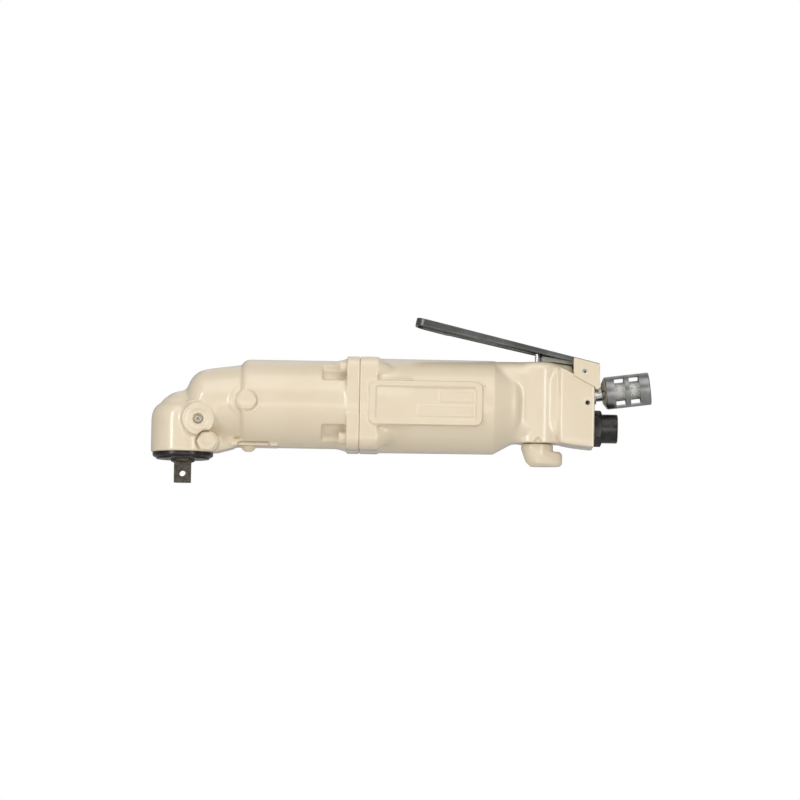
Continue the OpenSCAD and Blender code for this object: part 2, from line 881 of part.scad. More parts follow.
module square_end() {
    nose = drive_nose_share * drive_side;
    top = drive_len + collar_root_h;
    intersection() {
        translate([-drive_side / 2, -drive_side / 2, 0]) cube([drive_side, drive_side, top]);
        rotate_extrude()
            polygon([[0, 0], [nose, 0], [drive_side, drive_side - nose], [drive_side, top], [0, top]]);
    }
}

module drive_spindle() {
    hole_z = drive_hole_share * drive_len;
    color("#5b554c") difference() {
        union() {
            square_end();
            translate([0, 0, drive_len]) cylinder(d1 = drive_side, d2 = collar_d, h = collar_root_h);
            upright(collar_d, drive_len + collar_root_h, bearing_z);
            upright(spindle_d, bearing_z, shoulder_z);
            upright(spindle_flange_d, shoulder_z, shoulder_z + spindle_flange_h);
            translate([0, 0, shoulder_z]) linear_extrude(gear_top_z - shoulder_z) spline();
            upright(stub_d, gear_top_z, bush_z + bush_h - free_gap);
        }
        translate([0, 0, hole_z]) rotate([90, 0, 0])
            cylinder(d = drive_hole_d, h = 2 * drive_side, center = true);
        for (a = [0, 180]) rotate(a) on_side(0, hole_z, drive_side / 2 - drive_flare_depth)
            cylinder(d1 = drive_hole_d, d2 = drive_hole_d + 4 * drive_hole_flare, h = 2 * drive_flare_depth);
    }
}

module bevel_gear() {
    drop = dedendum * sin(gear_cone);
    back_r = gear_r - dedendum * cos(gear_cone) - 2 * edge;
    color("#8d9095") difference() {
        union() {
            translate([0, 0, gear_z]) bevel_teeth(gear_teeth, gear_r, pinion_r, gear_cone);
            upright(2 * back_r, gear_z - drop - gear_back_t, gear_z - drop);
            upright(gear_hub_d, shoulder_z + spindle_flange_h, gear_z);
            upright(gear_seat_d, gear_z, gear_top_z);
        }
        translate([0, 0, shoulder_z]) linear_extrude(axis_z) spline(seat_gap);
    }
}

module gear_nut() {
    color("#6d6f72") translate([0, 0, gear_top_z]) difference() {
        flats(gear_nut_af, gear_nut_h);
        upright(stub_d + 2 * seat_gap, -over, gear_nut_h + over);
    }
}

// Pinion and pulse unit shaft

// The pinion is turned so that a space faces the gear's tooth below it
module bevel_pinion() {
    drop = dedendum * sin(pinion_cone);
    turn = 180 / pinion_teeth * (1 - pinion_teeth % 2);
    color("#8d9095") difference() {
        union() {
            translate([gear_r, 0, axis_z]) rotate([0, -90, 0])
                rotate(turn) bevel_teeth(pinion_teeth, pinion_r, gear_r, pinion_cone);
            on_barrel(gear_r) cylinder(d = pinion_hub_d, h = pinion_hub_len + drop);
            on_barrel(gear_r) cylinder(d = pinion_shank_d, h = front_bearing_end - gear_r);
        }
        on_barrel(front_bearing_end - socket_len) flats(socket_af + 2 * seat_gap, socket_len + over);
    }
}

module pinion_spacer() {
    x = needle_x + needle_w + free_gap;
    color("#8d9095") on_barrel(x)
        ring(pinion_shank_d + 2 * bush_wall, pinion_shank_d + 2 * seat_gap, front_bearing_x - x);
}

module main_shaft() {
    start = front_bearing_end - socket_len + socket_play;
    journal_x = front_bearing_end + socket_play;
    web_x = oil_x + run_gap;
    web_len = oil_len - 2 * run_gap;
    color("#7d8085") difference() {
        union() {
            on_barrel(start) flats(socket_af, web_x - start);
            on_barrel(journal_x) cylinder(d = pinion_shank_d, h = web_x - journal_x);
            on_barrel(web_x) cylinder(d = shaft_web_d, h = web_len);
            on_barrel(web_x) cylinder(d = shaft_rear_d, h = web_len + lid_t);
        }
        on_barrel(web_x) translate([-seal_r, -blade_t / 2 - seat_gap, 0])
            cube([2 * seal_r, blade_t + 2 * seat_gap, web_len]);
    }
}

module pulse_blades() {
    web_x = oil_x + 2 * run_gap;
    web_len = oil_len - 4 * run_gap;
    reach = seal_r - blade_gap - blade_inner_r;
    color("#5d6066") on_barrel(web_x) for (a = [0, 180]) rotate(a)
        translate([blade_inner_r, -blade_t / 2, 0]) cube([reach, blade_t, web_len]);
}

module pulse_drum() {
    color("#74777c") on_barrel(oil_x) difference() {
        cylinder(d = drum_d, h = oil_len);
        translate([0, 0, -over]) linear_extrude(oil_len + 2 * over) {
            for (s = [-1, 1]) translate([0, s * oil_lobe]) circle(seal_r);
            square([2 * seal_r, 2 * oil_lobe], center = true);
        }
        for (a = [45 : 90 : 315]) rotate(a) translate([drum_d / 2, 0, 0])
            upright(drum_groove_d, -over, oil_len + over);
    }
}

module drum_front_lid() {
    color("#84878c") difference() {
        on_barrel(drum_x) cylinder(d = drum_d, h = lid_t);
        on_barrel(drum_x - over) cylinder(d = pinion_shank_d + 2 * run_gap, h = lid_t + 2 * over);
        translate([relief_x, 0, axis_z - drum_d / 2])
            upright(relief_d + 2 * seat_gap, -over, relief_len + free_gap);
    }
}

module drum_rear_lid() {
    color("#84878c") on_barrel(rear_lid_x) difference() {
        union() {
            cylinder(d = drum_d, h = lid_t);
            cylinder(d = rear_hub_d, h = lid_t + rear_hub_len);
        }
        upright(shaft_rear_d + 2 * run_gap, -over, lid_t + free_gap);
        translate([0, 0, lid_t + hub_floor]) flats(socket_af + 2 * seat_gap, rear_hub_len);
    }
}

module relief_screw() {
    color("#505256") translate([relief_x, 0, axis_z - drum_d / 2 + free_gap]) difference() {
        cylinder(d = relief_d, h = relief_len - free_gap);
        translate([0, 0, -over]) flats(relief_socket_af, relief_d / 2 + over);
    }
}

// Air motor

module at_vanes() {
    for (i = [0 : vane_count - 1]) rotate(360 / vane_count * i) children();
}

module rotor() {
    hex_x = rear_lid_x + lid_t + hub_floor + free_gap;
    shaft_x = hub_end_x + free_gap;
    color("#9a9da2") difference() {
        union() {
            on_barrel(liner_x + rotor_side_gap) cylinder(d = rotor_d, h = liner_len - 2 * rotor_side_gap);
            on_barrel(shaft_x) cylinder(d = rotor_shaft_d, h = rear_plate_x + plate_t - free_gap - shaft_x);
            on_barrel(hex_x) flats(socket_af, shaft_x - hex_x);
        }
        on_barrel(liner_x) at_vanes()
            translate([rotor_d / 2 - vane_depth - seat_gap, -vane_t / 2 - seat_gap, 0])
                cube([vane_depth + over, vane_t + 2 * seat_gap, liner_len]);
    }
}

module rotor_vanes() {
    color("#6b4a2f") on_barrel(liner_x + vane_end_gap) at_vanes()
        translate([rotor_d / 2 - vane_depth, -vane_t / 2, 0])
            cube([vane_depth - run_gap, vane_t, liner_len - 2 * vane_end_gap]);
}

module cylinder_liner() {
    color("#a3a5a8") difference() {
        on_barrel(liner_x) cylinder(d = motor_bore - 2 * seat_gap, h = liner_len);
        on_barrel(liner_x - over, axis_z + eccentricity) cylinder(d = liner_bore, h = liner_len + 2 * over);
        translate([liner_x + liner_len / 2, 0, axis_z]) for (a = port_angles)
            rotate([a, 0, 0]) cylinder(d = port_hole_d, h = motor_bore);
    }
}

// End plate drawn with its bearing pocket opening down at z = 0
module end_plate() {
    difference() {
        cylinder(d = motor_bore - 2 * seat_gap, h = plate_t);
        upright(rotor_bearing_od + 2 * seat_gap, -over, rotor_bearing_w);
        upright(rotor_shaft_d + 2 * run_gap, 0, plate_t + over);
    }
}

module front_end_plate() {
    color("#8d9095") on_barrel(motor_start) end_plate();
}

module rear_end_plate() {
    color("#8d9095") on_barrel(rear_plate_x + plate_t) rotate([180, 0, 0]) end_plate();
}

module front_rotor_bearing() {
    color("#b9bcc0") on_barrel(motor_start)
        bearing(rotor_bearing_od, rotor_shaft_d + 2 * run_gap, rotor_bearing_w);
}

module rear_rotor_bearing() {
    color("#b9bcc0") on_barrel(rear_plate_x + plate_t - rotor_bearing_w)
        bearing(rotor_bearing_od, rotor_shaft_d + 2 * run_gap, rotor_bearing_w);
}

module motor_wave_washer() {
    od = motor_bore - 2 * run_gap;
    color("#77797d") on_barrel(rear_plate_x + plate_t) ring(od, od - 2 * wave_rim, wave_t);
}

// Motor housing

module motor_barrel_form() {
    r = motor_d / 2;
    s = shoulder_share * r;
    rotate_extrude() {
        polygon([
            [0, 0], [r, 0], [r - barrel_draft, taper_back], [s, shoulder_back - shoulder_r],
            [s - shoulder_r, shoulder_back - shoulder_r], [s - shoulder_r, shoulder_back],
            [0, shoulder_back]
        ]);
        translate([s - shoulder_r, shoulder_back - shoulder_r]) circle(shoulder_r);
    }
}

module corner_ears() {
    corner = flange_side / 2 - ear_r;
    for (sy = [-1, 1], sz = [-1, 1]) hull() {
        translate([case_reach, sy * corner, axis_z + sz * corner]) rotate([0, 90, 0])
            cylinder(r = ear_r, h = ear_flat_len, $fn = hull_fn);
        translate([case_reach, sy * corner * ear_share, axis_z + sz * corner * ear_share]) rotate([0, 90, 0])
            cylinder(r = ear_r * ear_share, h = ear_len, $fn = hull_fn);
    }
}

module panel_recess() {
    x = panel_x + panel_len / 2;
    end_x = panel_x + panel_len - band_inset;
    floor_y = panel_y - panel_depth;
    difference() {
        on_side(x, axis_z, floor_y) linear_extrude(panel_depth + over)
            round_rect(panel_len - 2 * panel_rim, panel_h - 2 * panel_rim, panel_corner / 2);
        for (i = [0, 1])
            on_side(end_x - band_lens[i] / 2, axis_z + (2 * i - 1) * band_offset, floor_y - over)
                linear_extrude(over + band_proud) round_rect(band_lens[i], band_h, band_corner);
    }
}

// Outline of the neck between the barrel and the rear block, drawn in Y and Z
module neck_outline(w) {
    translate([0, (boss_top_z + boss_base_z) / 2 - axis_z])
        round_rect(w, boss_top_z - boss_base_z, neck_corner);
}

// Height of the rear crown's ridge over x
function crown_line(x) =
    boss_top_z - crown_fall * max(0, x - valve_x - crown_level) / (crown_end_x - valve_x - crown_level);

module rear_crown() {
    intersection() {
        section_back(valve_x, crown_end_x - valve_x) neck_outline(crown_w);
        side_view(crown_w) polygon([
            [valve_x, boss_base_z], [crown_end_x, boss_base_z], [crown_end_x, crown_line(crown_end_x)],
            [valve_x + crown_level, boss_top_z], [valve_x, boss_top_z]
        ]);
    }
}

// Height of the rear block's sloping top over x
function slope_z(x) = block_top_z + (rear_x - x) * tan(block_slope);

module rear_block() {
    intersection() {
        side_view(block_w) polygon([
            [block_front_x, boss_base_z], [block_mid_x, block_foot_z + block_belly], [rear_x, block_foot_z],
            [rear_x, block_top_z], [block_front_x, slope_z(block_front_x)]
        ]);
        translate([block_mid_x, 0, block_foot_z - over]) linear_extrude(boss_top_z - block_foot_z + over) {
            round_rect(rear_x - block_front_x, block_w, block_corner);
            translate([0, -block_w / 2]) square([rear_x - block_mid_x, block_w]);
        }
    }
}

module motor_housing_outside() {
    difference() {
        union() {
            on_barrel(case_reach) motor_barrel_form();
            section_back(case_reach, ear_flat_len) flange_outline();
            corner_ears();
            on_side(panel_x + panel_len / 2, axis_z) linear_extrude(panel_y)
                round_rect(panel_len, panel_h, panel_corner);
        }
        panel_recess();
    }
    section_back(neck_start_x, valve_x - neck_start_x) neck_outline(valve_boss_d);
    translate([valve_x, 0, boss_base_z]) rotate_extrude()
        turned_outline(valve_boss_d / 2, boss_top_z - boss_base_z, boss_corner);
    rear_crown();
    rear_block();
}

module silencer_axis(s = 0) {
    translate([silencer_x, 0, silencer_z]) rotate([0, 90 - silencer_tilt, 0])
        translate([0, 0, s]) children();
}

module cross_pin_shape(d, len) {
    translate([silencer_x - cross_pin_back, 0, silencer_z - cross_pin_drop])
        rotate([90, 0, 0]) cylinder(d = d, h = len, center = true);
}

module index_notch() {
    half = notch_w / 2;
    on_side(valve_x, boss_base_z, valve_boss_d / 2 - notch_depth) linear_extrude(valve_boss_d)
        polygon([[-half, -over], [half, -over], [half, 0], [0, notch_h], [-half, 0]]);
}

// Bores on the valve axis, with the channel that leads air round the spring plate
module valve_bores() {
    high_z = seat_z + valve_port_rise;
    low_z = reverse_top_z + reverse_room_h / 2;
    translate([valve_x, 0, 0]) {
        upright(valve_bore_d, boss_base_z - over, seat_bush_top);
        upright(guide_d + 2 * seat_gap, boss_base_z, boss_top_z + over);
        upright(valve_bore_d + 2 * circlip_depth, circlip_z, circlip_z + circlip_t);
    }
    translate([valve_x - bypass_back, 0, 0]) upright(valve_port_d, low_z, high_z);
    for (z = [low_z, high_z])
        on_barrel(valve_x - bypass_back, z) cylinder(d = valve_port_d, h = bypass_back);
}

module inlet_passage() {
    from = [rear_x - inlet_thread_len, 0, inlet_z];
    to = [valve_x + valve_room_d / 2, 0, bush_foot_z + spring_len / 2];
    run = to - from;
    translate(from) rotate([0, atan2(run[0], run[2]), 0]) cylinder(d = feed_d, h = norm(run));
}

module at_bracket_screws() {
    x = bracket_front_x + bracket_screw_inset;
    for (s = [-1, 1]) translate([x, s * bracket_screw_y, slope_z(x)]) rotate([0, block_slope, 0]) children();
}

module at_stop_screw() {
    translate([stop_screw_x, 0, crown_line(stop_screw_x)]) children();
}

module motor_housing() {
    color("#e6dcc4") difference() {
        motor_housing_outside();
        on_barrel(case_reach - over) cylinder(d = motor_bore, h = motor_end - case_reach + over);
        at_flange_screws(case_reach - over)
            cylinder(d = screw_d + 2 * seat_gap, h = screw_reach + over + free_gap);
        valve_bores();
        silencer_axis(-spigot_len - free_gap)
            cylinder(d = spigot_d + 2 * run_gap, h = spigot_len + 2 * silencer_setback + over);
        cross_pin_shape(cross_pin_d + 2 * seat_gap, block_w + 2 * over);
        on_barrel(rear_x - inlet_thread_len - free_gap, inlet_z)
            cylinder(d = inlet_thread_d + 2 * seat_gap, h = inlet_thread_len + free_gap + over);
        inlet_passage();
        for (s = [-1, 1]) translate([0, s * motor_feed_y, 0])
            on_barrel(motor_end - over, motor_feed_z) cylinder(d = motor_feed_d, h = valve_x - motor_end);
        at_bracket_screws() upright(bracket_screw_d + 2 * seat_gap, -bracket_screw_len, over);
        at_stop_screw() upright(stop_screw_d + 2 * seat_gap, -stop_screw_len, over);
        index_notch();
    }
}

// Lever bracket, on the slope of the rear block

// Height over x of a line that the lever carries at height h above its pin, at a lever angle
function lever_line(x, h, angle) = pivot_z + h / cos(angle) + (pivot_x - x) * tan(angle);

module bracket_outline() {
    back_x = rear_x + bracket_back;
    foot_z = block_top_z - bracket_tail;
    polygon([
        [bracket_front_x, slope_z(bracket_front_x) - bracket_lip],
        [bracket_front_x, lever_line(bracket_front_x, lever_top, lever_slope) - bracket_top_drop],
        [back_x, lever_line(back_x, lever_top, lever_slope) - bracket_top_drop],
        [back_x, foot_z], [rear_x, foot_z], [rear_x, block_top_z - bracket_lip]
    ]);
}

module bracket_slot() {
    w = lever_w + 2 * bracket_gap;
    groove_w = lever_sheet + 2 * bracket_gap;
    floor_h = bracket_floor / cos(block_slope);
    front = bracket_front_x - over;
    back = rear_x + bracket_back + over;
    sill = pivot_z + bracket_back_rise;
    high = lever_line(front, lever_top, lever_slope) + over;
    side_view(w) polygon([
        [front, slope_z(front) + floor_h], [rear_x, block_top_z + floor_h], [rear_x, sill],
        [back, sill], [back, high], [front, high]
    ]);
    for (a = [0, 180]) translate([pivot_x, 0, pivot_z]) rotate(a)
        on_side(0, 0, w / 2 - groove_w) cylinder(r = lever_lobe_r + free_gap, h = groove_w);
}

module lever_pin_shape(d, len) {
    translate([pivot_x, 0, pivot_z]) rotate([90, 0, 0]) cylinder(d = d, h = len, center = true);
}

module lever_bracket() {
    sink = (bracket_screw_head - bracket_screw_d) / 2;
    color("#e6dcc4") difference() {
        side_view(bracket_w) bracket_outline();
        side_view(block_w + 2 * seat_gap) polygon([
            [valve_x, 0], [rear_x, 0], [rear_x, block_top_z], [valve_x, slope_z(valve_x)]
        ]);
        bracket_slot();
        silencer_axis(-spigot_len) cylinder(d = spigot_d + 2 * free_gap, h = spigot_len);
        silencer_axis(-over) cylinder(d = neck_d + 2 * body_gap, h = neck_free + over);
        lever_pin_shape(lever_pin_d + 2 * seat_gap, bracket_w + 2 * over);
        at_bracket_screws() {
            upright(bracket_screw_d + 2 * run_gap, -over, bracket_floor + over);
            translate([0, 0, bracket_floor - sink]) cylinder(
                d1 = bracket_screw_d + 2 * run_gap, d2 = bracket_screw_head + 2 * run_gap, h = sink);
        }
    }
}

module bracket_screws() {
    sink = (bracket_screw_head - bracket_screw_d) / 2;
    color("#4a4b4e") at_bracket_screws() difference() {
        union() {
            upright(bracket_screw_d, free_gap - bracket_screw_len, bracket_floor);
            translate([0, 0, bracket_floor - sink])
                cylinder(d1 = bracket_screw_d, d2 = bracket_screw_head, h = sink);
        }
        translate([0, 0, bracket_floor - sink]) flats(relief_socket_af, sink + over);
    }
}

module lever_pin() {
    color("#55565a") difference() {
        lever_pin_shape(lever_pin_d, bracket_w - 2 * free_gap);
        lever_pin_shape(lever_pin_d / 2, bracket_w);
    }
}

// Throttle lever, drawn with its pin at the origin, its web level and its tip forward

module lever_outline() {
    low = lever_top - lever_band;
    polygon([
        [-lever_len, low], [-lever_deep_from, low], [-lever_deep_to, low - lever_deep_drop],
        [-lever_lobe_r, 0], [lever_lobe_r, 0], [lever_heel, low],
        [lever_tail, lever_seat], [lever_tail, lever_top], [-lever_len, lever_top]
    ]);
    circle(lever_lobe_r);
}

module lever_plan(inset) {
    w = lever_w - 2 * inset;
    r = lever_tip_r - inset;
    front = inset - lever_len;
    translate([front + r, -w / 2]) square([lever_tail - front - r, w]);
    translate([front, r - w / 2]) square([2 * r, w - 2 * r]);
    for (s = [-1, 1]) translate([front + r, s * (w / 2 - r)]) circle(r);
}

module throttle_lever() {
    foot = -lever_lobe_r - over;
    color("#6e7074") translate([pivot_x, 0, pivot_z]) rotate([0, lever_slope, 0]) difference() {
        intersection() {
            side_view(lever_w) lever_outline();
            translate([0, 0, foot]) linear_extrude(lever_top + over - foot) lever_plan(0);
        }
        translate([0, 0, foot]) linear_extrude(lever_seat - foot) {
            lever_plan(lever_sheet);
            translate([0, lever_sheet - lever_w / 2]) square([lever_tail + over, lever_w - 2 * lever_sheet]);
        }
        rotate([90, 0, 0]) cylinder(d = lever_pin_d + 2 * run_gap, h = lever_w + 2 * over, center = true);
    }
}

// Top of the stop that ends the lever's swing
function stop_line(x) = lever_line(x, lever_seat, lever_slope - lever_swing) - free_gap;

module lever_stop() {
    front = valve_x + push_pin_d / 2 + free_gap;
    color("#7c8078") difference() {
        translate([0, 0, stop_rise]) side_view(stop_w) polygon([
            [front, boss_top_z], [valve_x + crown_level, boss_top_z], [crown_end_x, crown_line(crown_end_x)],
            [crown_end_x, stop_line(crown_end_x) - stop_rise], [front, stop_line(front) - stop_rise]
        ]);
        at_stop_screw() {
            upright(stop_screw_d + 2 * run_gap, -over, lever_w);
            upright(stop_screw_head_d + 2 * run_gap, stop_seat, lever_w);
        }
    }
}

module stop_screw() {
    top = stop_seat + stop_screw_head_h;
    color("#4a4b4e") at_stop_screw() difference() {
        union() {
            upright(stop_screw_d, free_gap - stop_screw_len, top);
            upright(stop_screw_head_d, stop_seat, top);
        }
        translate([0, 0, top - stop_screw_head_h / 2]) flats(relief_socket_af, stop_screw_head_h);
    }
}

// Throttle valve stack

// Height of the push pin's top under the released lever
function pin_top_z() =
    lever_line(valve_x, lever_seat, lever_slope) - (push_pin_d / 2 - pin_dome) * tan(lever_slope) - pin_gap;

module pin_guide_bush() {
    color("#b08d57") translate([valve_x, 0, boss_top_z - free_gap - guide_len])
        ring(guide_d, push_pin_d + 2 * run_gap, guide_len);
}

module throttle_push_pin() {
    low = pin_top_z() - pin_dome;
    color("#d8dadc") translate([valve_x, 0, 0]) {
        upright(push_pin_d, seat_bush_top - free_gap, low);
        translate([0, 0, low]) cylinder(d1 = push_pin_d, d2 = push_pin_d - 2 * pin_dome, h = pin_dome);
    }
}

module throttle_valve() {
    cone_z = seat_z - poppet_cone_h;
    color("#b08d57") translate([valve_x, 0, 0]) {
        upright(stem_d, cone_z, seat_bush_top - free_gap);
        upright(poppet_d, seat_z - poppet_h, cone_z);
        translate([0, 0, cone_z])
            cylinder(d1 = poppet_d, d2 = poppet_d - 2 * poppet_cone_h, h = poppet_cone_h);
    }
}

// Lower port faces the inlet, upper port the channel ahead of the valve
module throttle_seat_bush() {
    color("#c09a5b") translate([valve_x, 0, 0]) difference() {
        upright(valve_bore_d - 2 * seat_gap, bush_foot_z, seat_bush_top);
        upright(valve_room_d, bush_foot_z - over, seat_z - edge);
        translate([0, 0, seat_z - edge]) cylinder(d1 = seat_hole_d + 2 * edge, d2 = seat_hole_d, h = edge);
        upright(seat_hole_d, seat_z - edge, seat_bush_top - seat_bush_roof);
        upright(push_pin_d + 2 * run_gap, seat_z, seat_bush_top + over);
        translate([0, 0, bush_foot_z + spring_len / 2]) rotate([0, 90, 0])
            cylinder(d = valve_port_d, h = valve_bore_d);
        translate([0, 0, seat_z + valve_port_rise]) rotate([0, -90, 0])
            cylinder(d = valve_port_d, h = valve_bore_d);
    }
}

module throttle_spring() {
    color("#9a9da2") translate([valve_x, 0, bush_foot_z])
        coil(spring_wire, spring_od, spring_len, spring_turns);
}

module spring_plate() {
    color("#8d9095") translate([valve_x, 0, spring_plate_z])
        cylinder(d = valve_bore_d - 2 * seat_gap, h = spring_plate_t);
}

// Reversing valve and knob

module reverse_valve() {
    color("#c09a5b") translate([valve_x, 0, 0]) difference() {
        union() {
            upright(valve_bore_d - 2 * run_gap, reverse_foot_z, reverse_top_z);
            upright(valve_bore_d / 2, boss_base_z - free_gap, reverse_foot_z);
        }
        translate([0, 0, motor_feed_z]) rotate([0, -90, 0]) cylinder(d = valve_port_d, h = valve_bore_d);
        upright(valve_port_d, motor_feed_z - valve_port_d / 2, reverse_top_z + over);
        upright(knob_screw_d + 2 * seat_gap, boss_base_z - over, boss_base_z + knob_screw_bite);
    }
}

module valve_circlip() {
    color("#3a3a3c") translate([valve_x, 0, circlip_z]) circlip(valve_bore_d);
}

module knob_layer(x, z, r, h) {
    translate([x, 0, z]) cylinder(r = r, h = h, $fn = hull_fn);
}

module reverse_knob() {
    top = boss_base_z - free_gap;
    foot = top - knob_h;
    ledge = top - knob_disc_h;
    r = knob_d / 2;
    tip_x = knob_reach - knob_tip_r;
    body_h = knob_h - knob_disc_h;
    color("#e6dcc4") translate([valve_x, 0, 0]) difference() {
        union() {
            upright(knob_d, ledge, top);
            hull() {
                knob_layer(0, ledge - knob_edge, knob_wide_share * r, knob_edge);
                knob_layer(knob_mid_shift, foot + knob_edge, knob_mid_share * r, knob_edge);
                knob_layer(knob_foot_shift, foot, knob_foot_share * r, knob_edge);
                knob_layer(tip_x, foot + knob_edge, knob_tip_r, body_h - 2 * knob_edge);
                knob_layer(tip_x, foot, knob_tip_r - knob_edge, body_h);
            }
        }
        upright(knob_screw_d + 2 * seat_gap, foot - over, top + over);
        upright(knob_screw_head_d + 2 * run_gap, foot - over, foot + knob_screw_sink);
    }
}

module knob_screw() {
    seat = boss_base_z - free_gap - knob_h + knob_screw_sink;
    color("#4a4b4e") translate([valve_x, 0, seat - knob_screw_head_h])
        cap_screw(knob_screw_d, boss_base_z + knob_screw_bite - free_gap - seat,
            knob_screw_head_d, knob_screw_head_h, knob_socket_af, knob_socket_h);
}

// Silencer: its neck turns in the block about the tilted axis

module silencer_neck() {
    groove_d = spigot_d - 2 * cross_pin_bite - cross_pin_d - 2 * body_gap;
    groove_w = cross_pin_d + 2 * groove_play;
    groove_s = cross_pin_back / cos(silencer_tilt) + (spigot_d / 2 - cross_pin_bite) * sin(silencer_tilt);
    seat_r = sleeve_d / 2 - sleeve_wall - seat_gap;
    disc_h = head_cone_h + head_seat_len;
    color("#c9cbcc") silencer_axis() difference() {
        union() {
            upright(spigot_d, -spigot_len, -spigot_end);
            upright(neck_d, -spigot_len, neck_free);
            translate([0, 0, neck_free]) rotate_extrude() polygon([
                [0, 0], [head_front_d / 2, 0], [sleeve_d / 2, head_cone_h], [seat_r, head_cone_h],
                [seat_r, disc_h], [0, disc_h]
            ]);
        }
        translate([0, 0, -groove_s - groove_w / 2]) ring(2 * spigot_d, groove_d, groove_w);
        upright(neck_bore_d, -spigot_len - over, neck_free + disc_h + over);
    }
}

module silencer_sleeve() {
    half = window_angle / 2;
    fan = [for (b = [-half, -half / 2, 0, half / 2, half]) sleeve_d * [cos(b), sin(b)]];
    color("#a9abad") silencer_axis(head_end) difference() {
        ring(sleeve_d, sleeve_d - 2 * sleeve_wall, sleeve_len, edge);
        for (i = [0, 1], a = [90, 270]) rotate(a) translate([0, 0, window_start + i * window_pitch])
            linear_extrude(window_w) polygon(concat([[0, 0]], fan));
    }
}

module silencer_element() {
    start = head_end + head_seat_len;
    color("#d2d3cd") silencer_axis(start) ring(element_d, neck_bore_d, cap_start - start, element_edge);
}

module silencer_end_cap() {
    r = sleeve_d / 2 - sleeve_wall - seat_gap;
    dish = r - cap_rim;
    sunk = cap_t - cap_dish;
    color("#8a8c8e") silencer_axis(cap_start) rotate_extrude()
        polygon([[0, 0], [r, 0], [r, cap_t], [dish, cap_t], [dish - cap_dish, sunk], [0, sunk]]);
}

module silencer_cross_pin() {
    color("#4a4b4e") cross_pin_shape(cross_pin_d, block_w - 2 * free_gap);
}

// Air inlet

module inlet_bushing() {
    r = inlet_collar_d / 2;
    face = inlet_hex_t + inlet_collar_len;
    color("#1b1b1d") on_barrel(rear_x, inlet_z) difference() {
        union() {
            upright(inlet_thread_d, -inlet_thread_len, inlet_hex_t);
            hex_head(inlet_hex, inlet_hex_t);
            upright(inlet_collar_d, inlet_hex_t, face - inlet_edge);
            translate([0, 0, face - inlet_edge]) cylinder(r1 = r, r2 = r - inlet_edge, h = inlet_edge);
        }
        upright(inlet_bore_d, face - inlet_bore_len, face + over);
        upright(inlet_throat_d, -inlet_thread_len - over, face);
        upright(strainer_d, -inlet_thread_len - over, strainer_len - inlet_thread_len);
    }
}

module inlet_strainer() {
    d = strainer_d - 2 * seat_gap;
    color("#a8aaac") on_barrel(rear_x - inlet_thread_len, inlet_z) difference() {
        cylinder(d = d, h = strainer_len);
        upright(d - 2 * strainer_t, strainer_t, strainer_len + over);
        upright(strainer_hole_d, -over, over);
        for (a = [0 : 60 : 300]) rotate(a) translate([d / 4, 0, 0]) upright(strainer_hole_d, -over, over);
    }
}

front_case();
head_ring_nut();
spindle_seal();
spindle_bearing();
spindle_top_bush();
pinion_needle_bearing();
pinion_ball_bearing();
pinion_bearing_circlip();
grease_nipple();
gear_case_plug();
adjusting_port_plug();
cover_plate();
cover_screw();
flange_screws();
drive_spindle();
bevel_gear();
gear_nut();
bevel_pinion();
pinion_spacer();
main_shaft();
pulse_blades();
pulse_drum();
drum_front_lid();
drum_rear_lid();
relief_screw();
rotor();
rotor_vanes();
motor_housing();
cylinder_liner();
front_end_plate();
rear_end_plate();
front_rotor_bearing();
rear_rotor_bearing();
motor_wave_washer();
lever_bracket();
bracket_screws();
lever_pin();
throttle_lever();
lever_stop();
stop_screw();
pin_guide_bush();
throttle_push_pin();
throttle_valve();
throttle_seat_bush();
throttle_spring();
spring_plate();
reverse_valve();
reverse_knob();
knob_screw();
valve_circlip();
silencer_neck();
silencer_sleeve();
silencer_element();
silencer_end_cap();
silencer_cross_pin();
inlet_bushing();
inlet_strainer();
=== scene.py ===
import json
import logging
import math
from dataclasses import dataclass
from enum import Enum
from typing import Dict, List, Optional, Sequence, Tuple, Union

import bmesh
import bpy
import numpy as np
from mathutils import Matrix, Vector


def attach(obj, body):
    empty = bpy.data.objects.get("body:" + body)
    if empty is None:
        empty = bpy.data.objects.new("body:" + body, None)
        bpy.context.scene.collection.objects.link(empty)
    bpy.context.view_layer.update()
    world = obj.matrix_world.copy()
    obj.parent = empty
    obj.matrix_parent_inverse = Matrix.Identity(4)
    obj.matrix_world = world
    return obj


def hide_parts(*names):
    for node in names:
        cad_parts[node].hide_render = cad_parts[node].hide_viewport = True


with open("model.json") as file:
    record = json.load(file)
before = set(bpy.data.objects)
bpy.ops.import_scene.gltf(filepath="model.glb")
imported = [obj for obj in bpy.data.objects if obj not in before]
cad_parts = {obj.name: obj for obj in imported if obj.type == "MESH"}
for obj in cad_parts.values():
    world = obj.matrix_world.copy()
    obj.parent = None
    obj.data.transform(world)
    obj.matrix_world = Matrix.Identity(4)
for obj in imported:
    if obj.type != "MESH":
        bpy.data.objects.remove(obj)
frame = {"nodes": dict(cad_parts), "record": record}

logging.basicConfig(level=logging.INFO, format="%(name)s: %(message)s")
log = logging.getLogger("wrench")

MM = 0.001
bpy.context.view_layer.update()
Colour = Tuple[float, float, float]
Point = Tuple[float, float, float]
Flat = Tuple[float, float]
Number = Union[float, "Socket"]
WHITE: Colour = (1.0, 1.0, 1.0)
EVEN: Point = (1.0, 1.0, 1.0)


def linear(*shown: int) -> Colour:
    """Turns a colour written in 0 to 255 into the linear values that a shader takes.

    Args:
        shown: Red, green and blue as a screen shows them.

    Returns:
        The linear colour.
    """
    shares = [value / 255.0 for value in shown]
    red, green, blue = (share / 12.92 if share <= 0.04045 else ((share + 0.055) / 1.055) ** 2.4
                        for share in shares)
    return red, green, blue


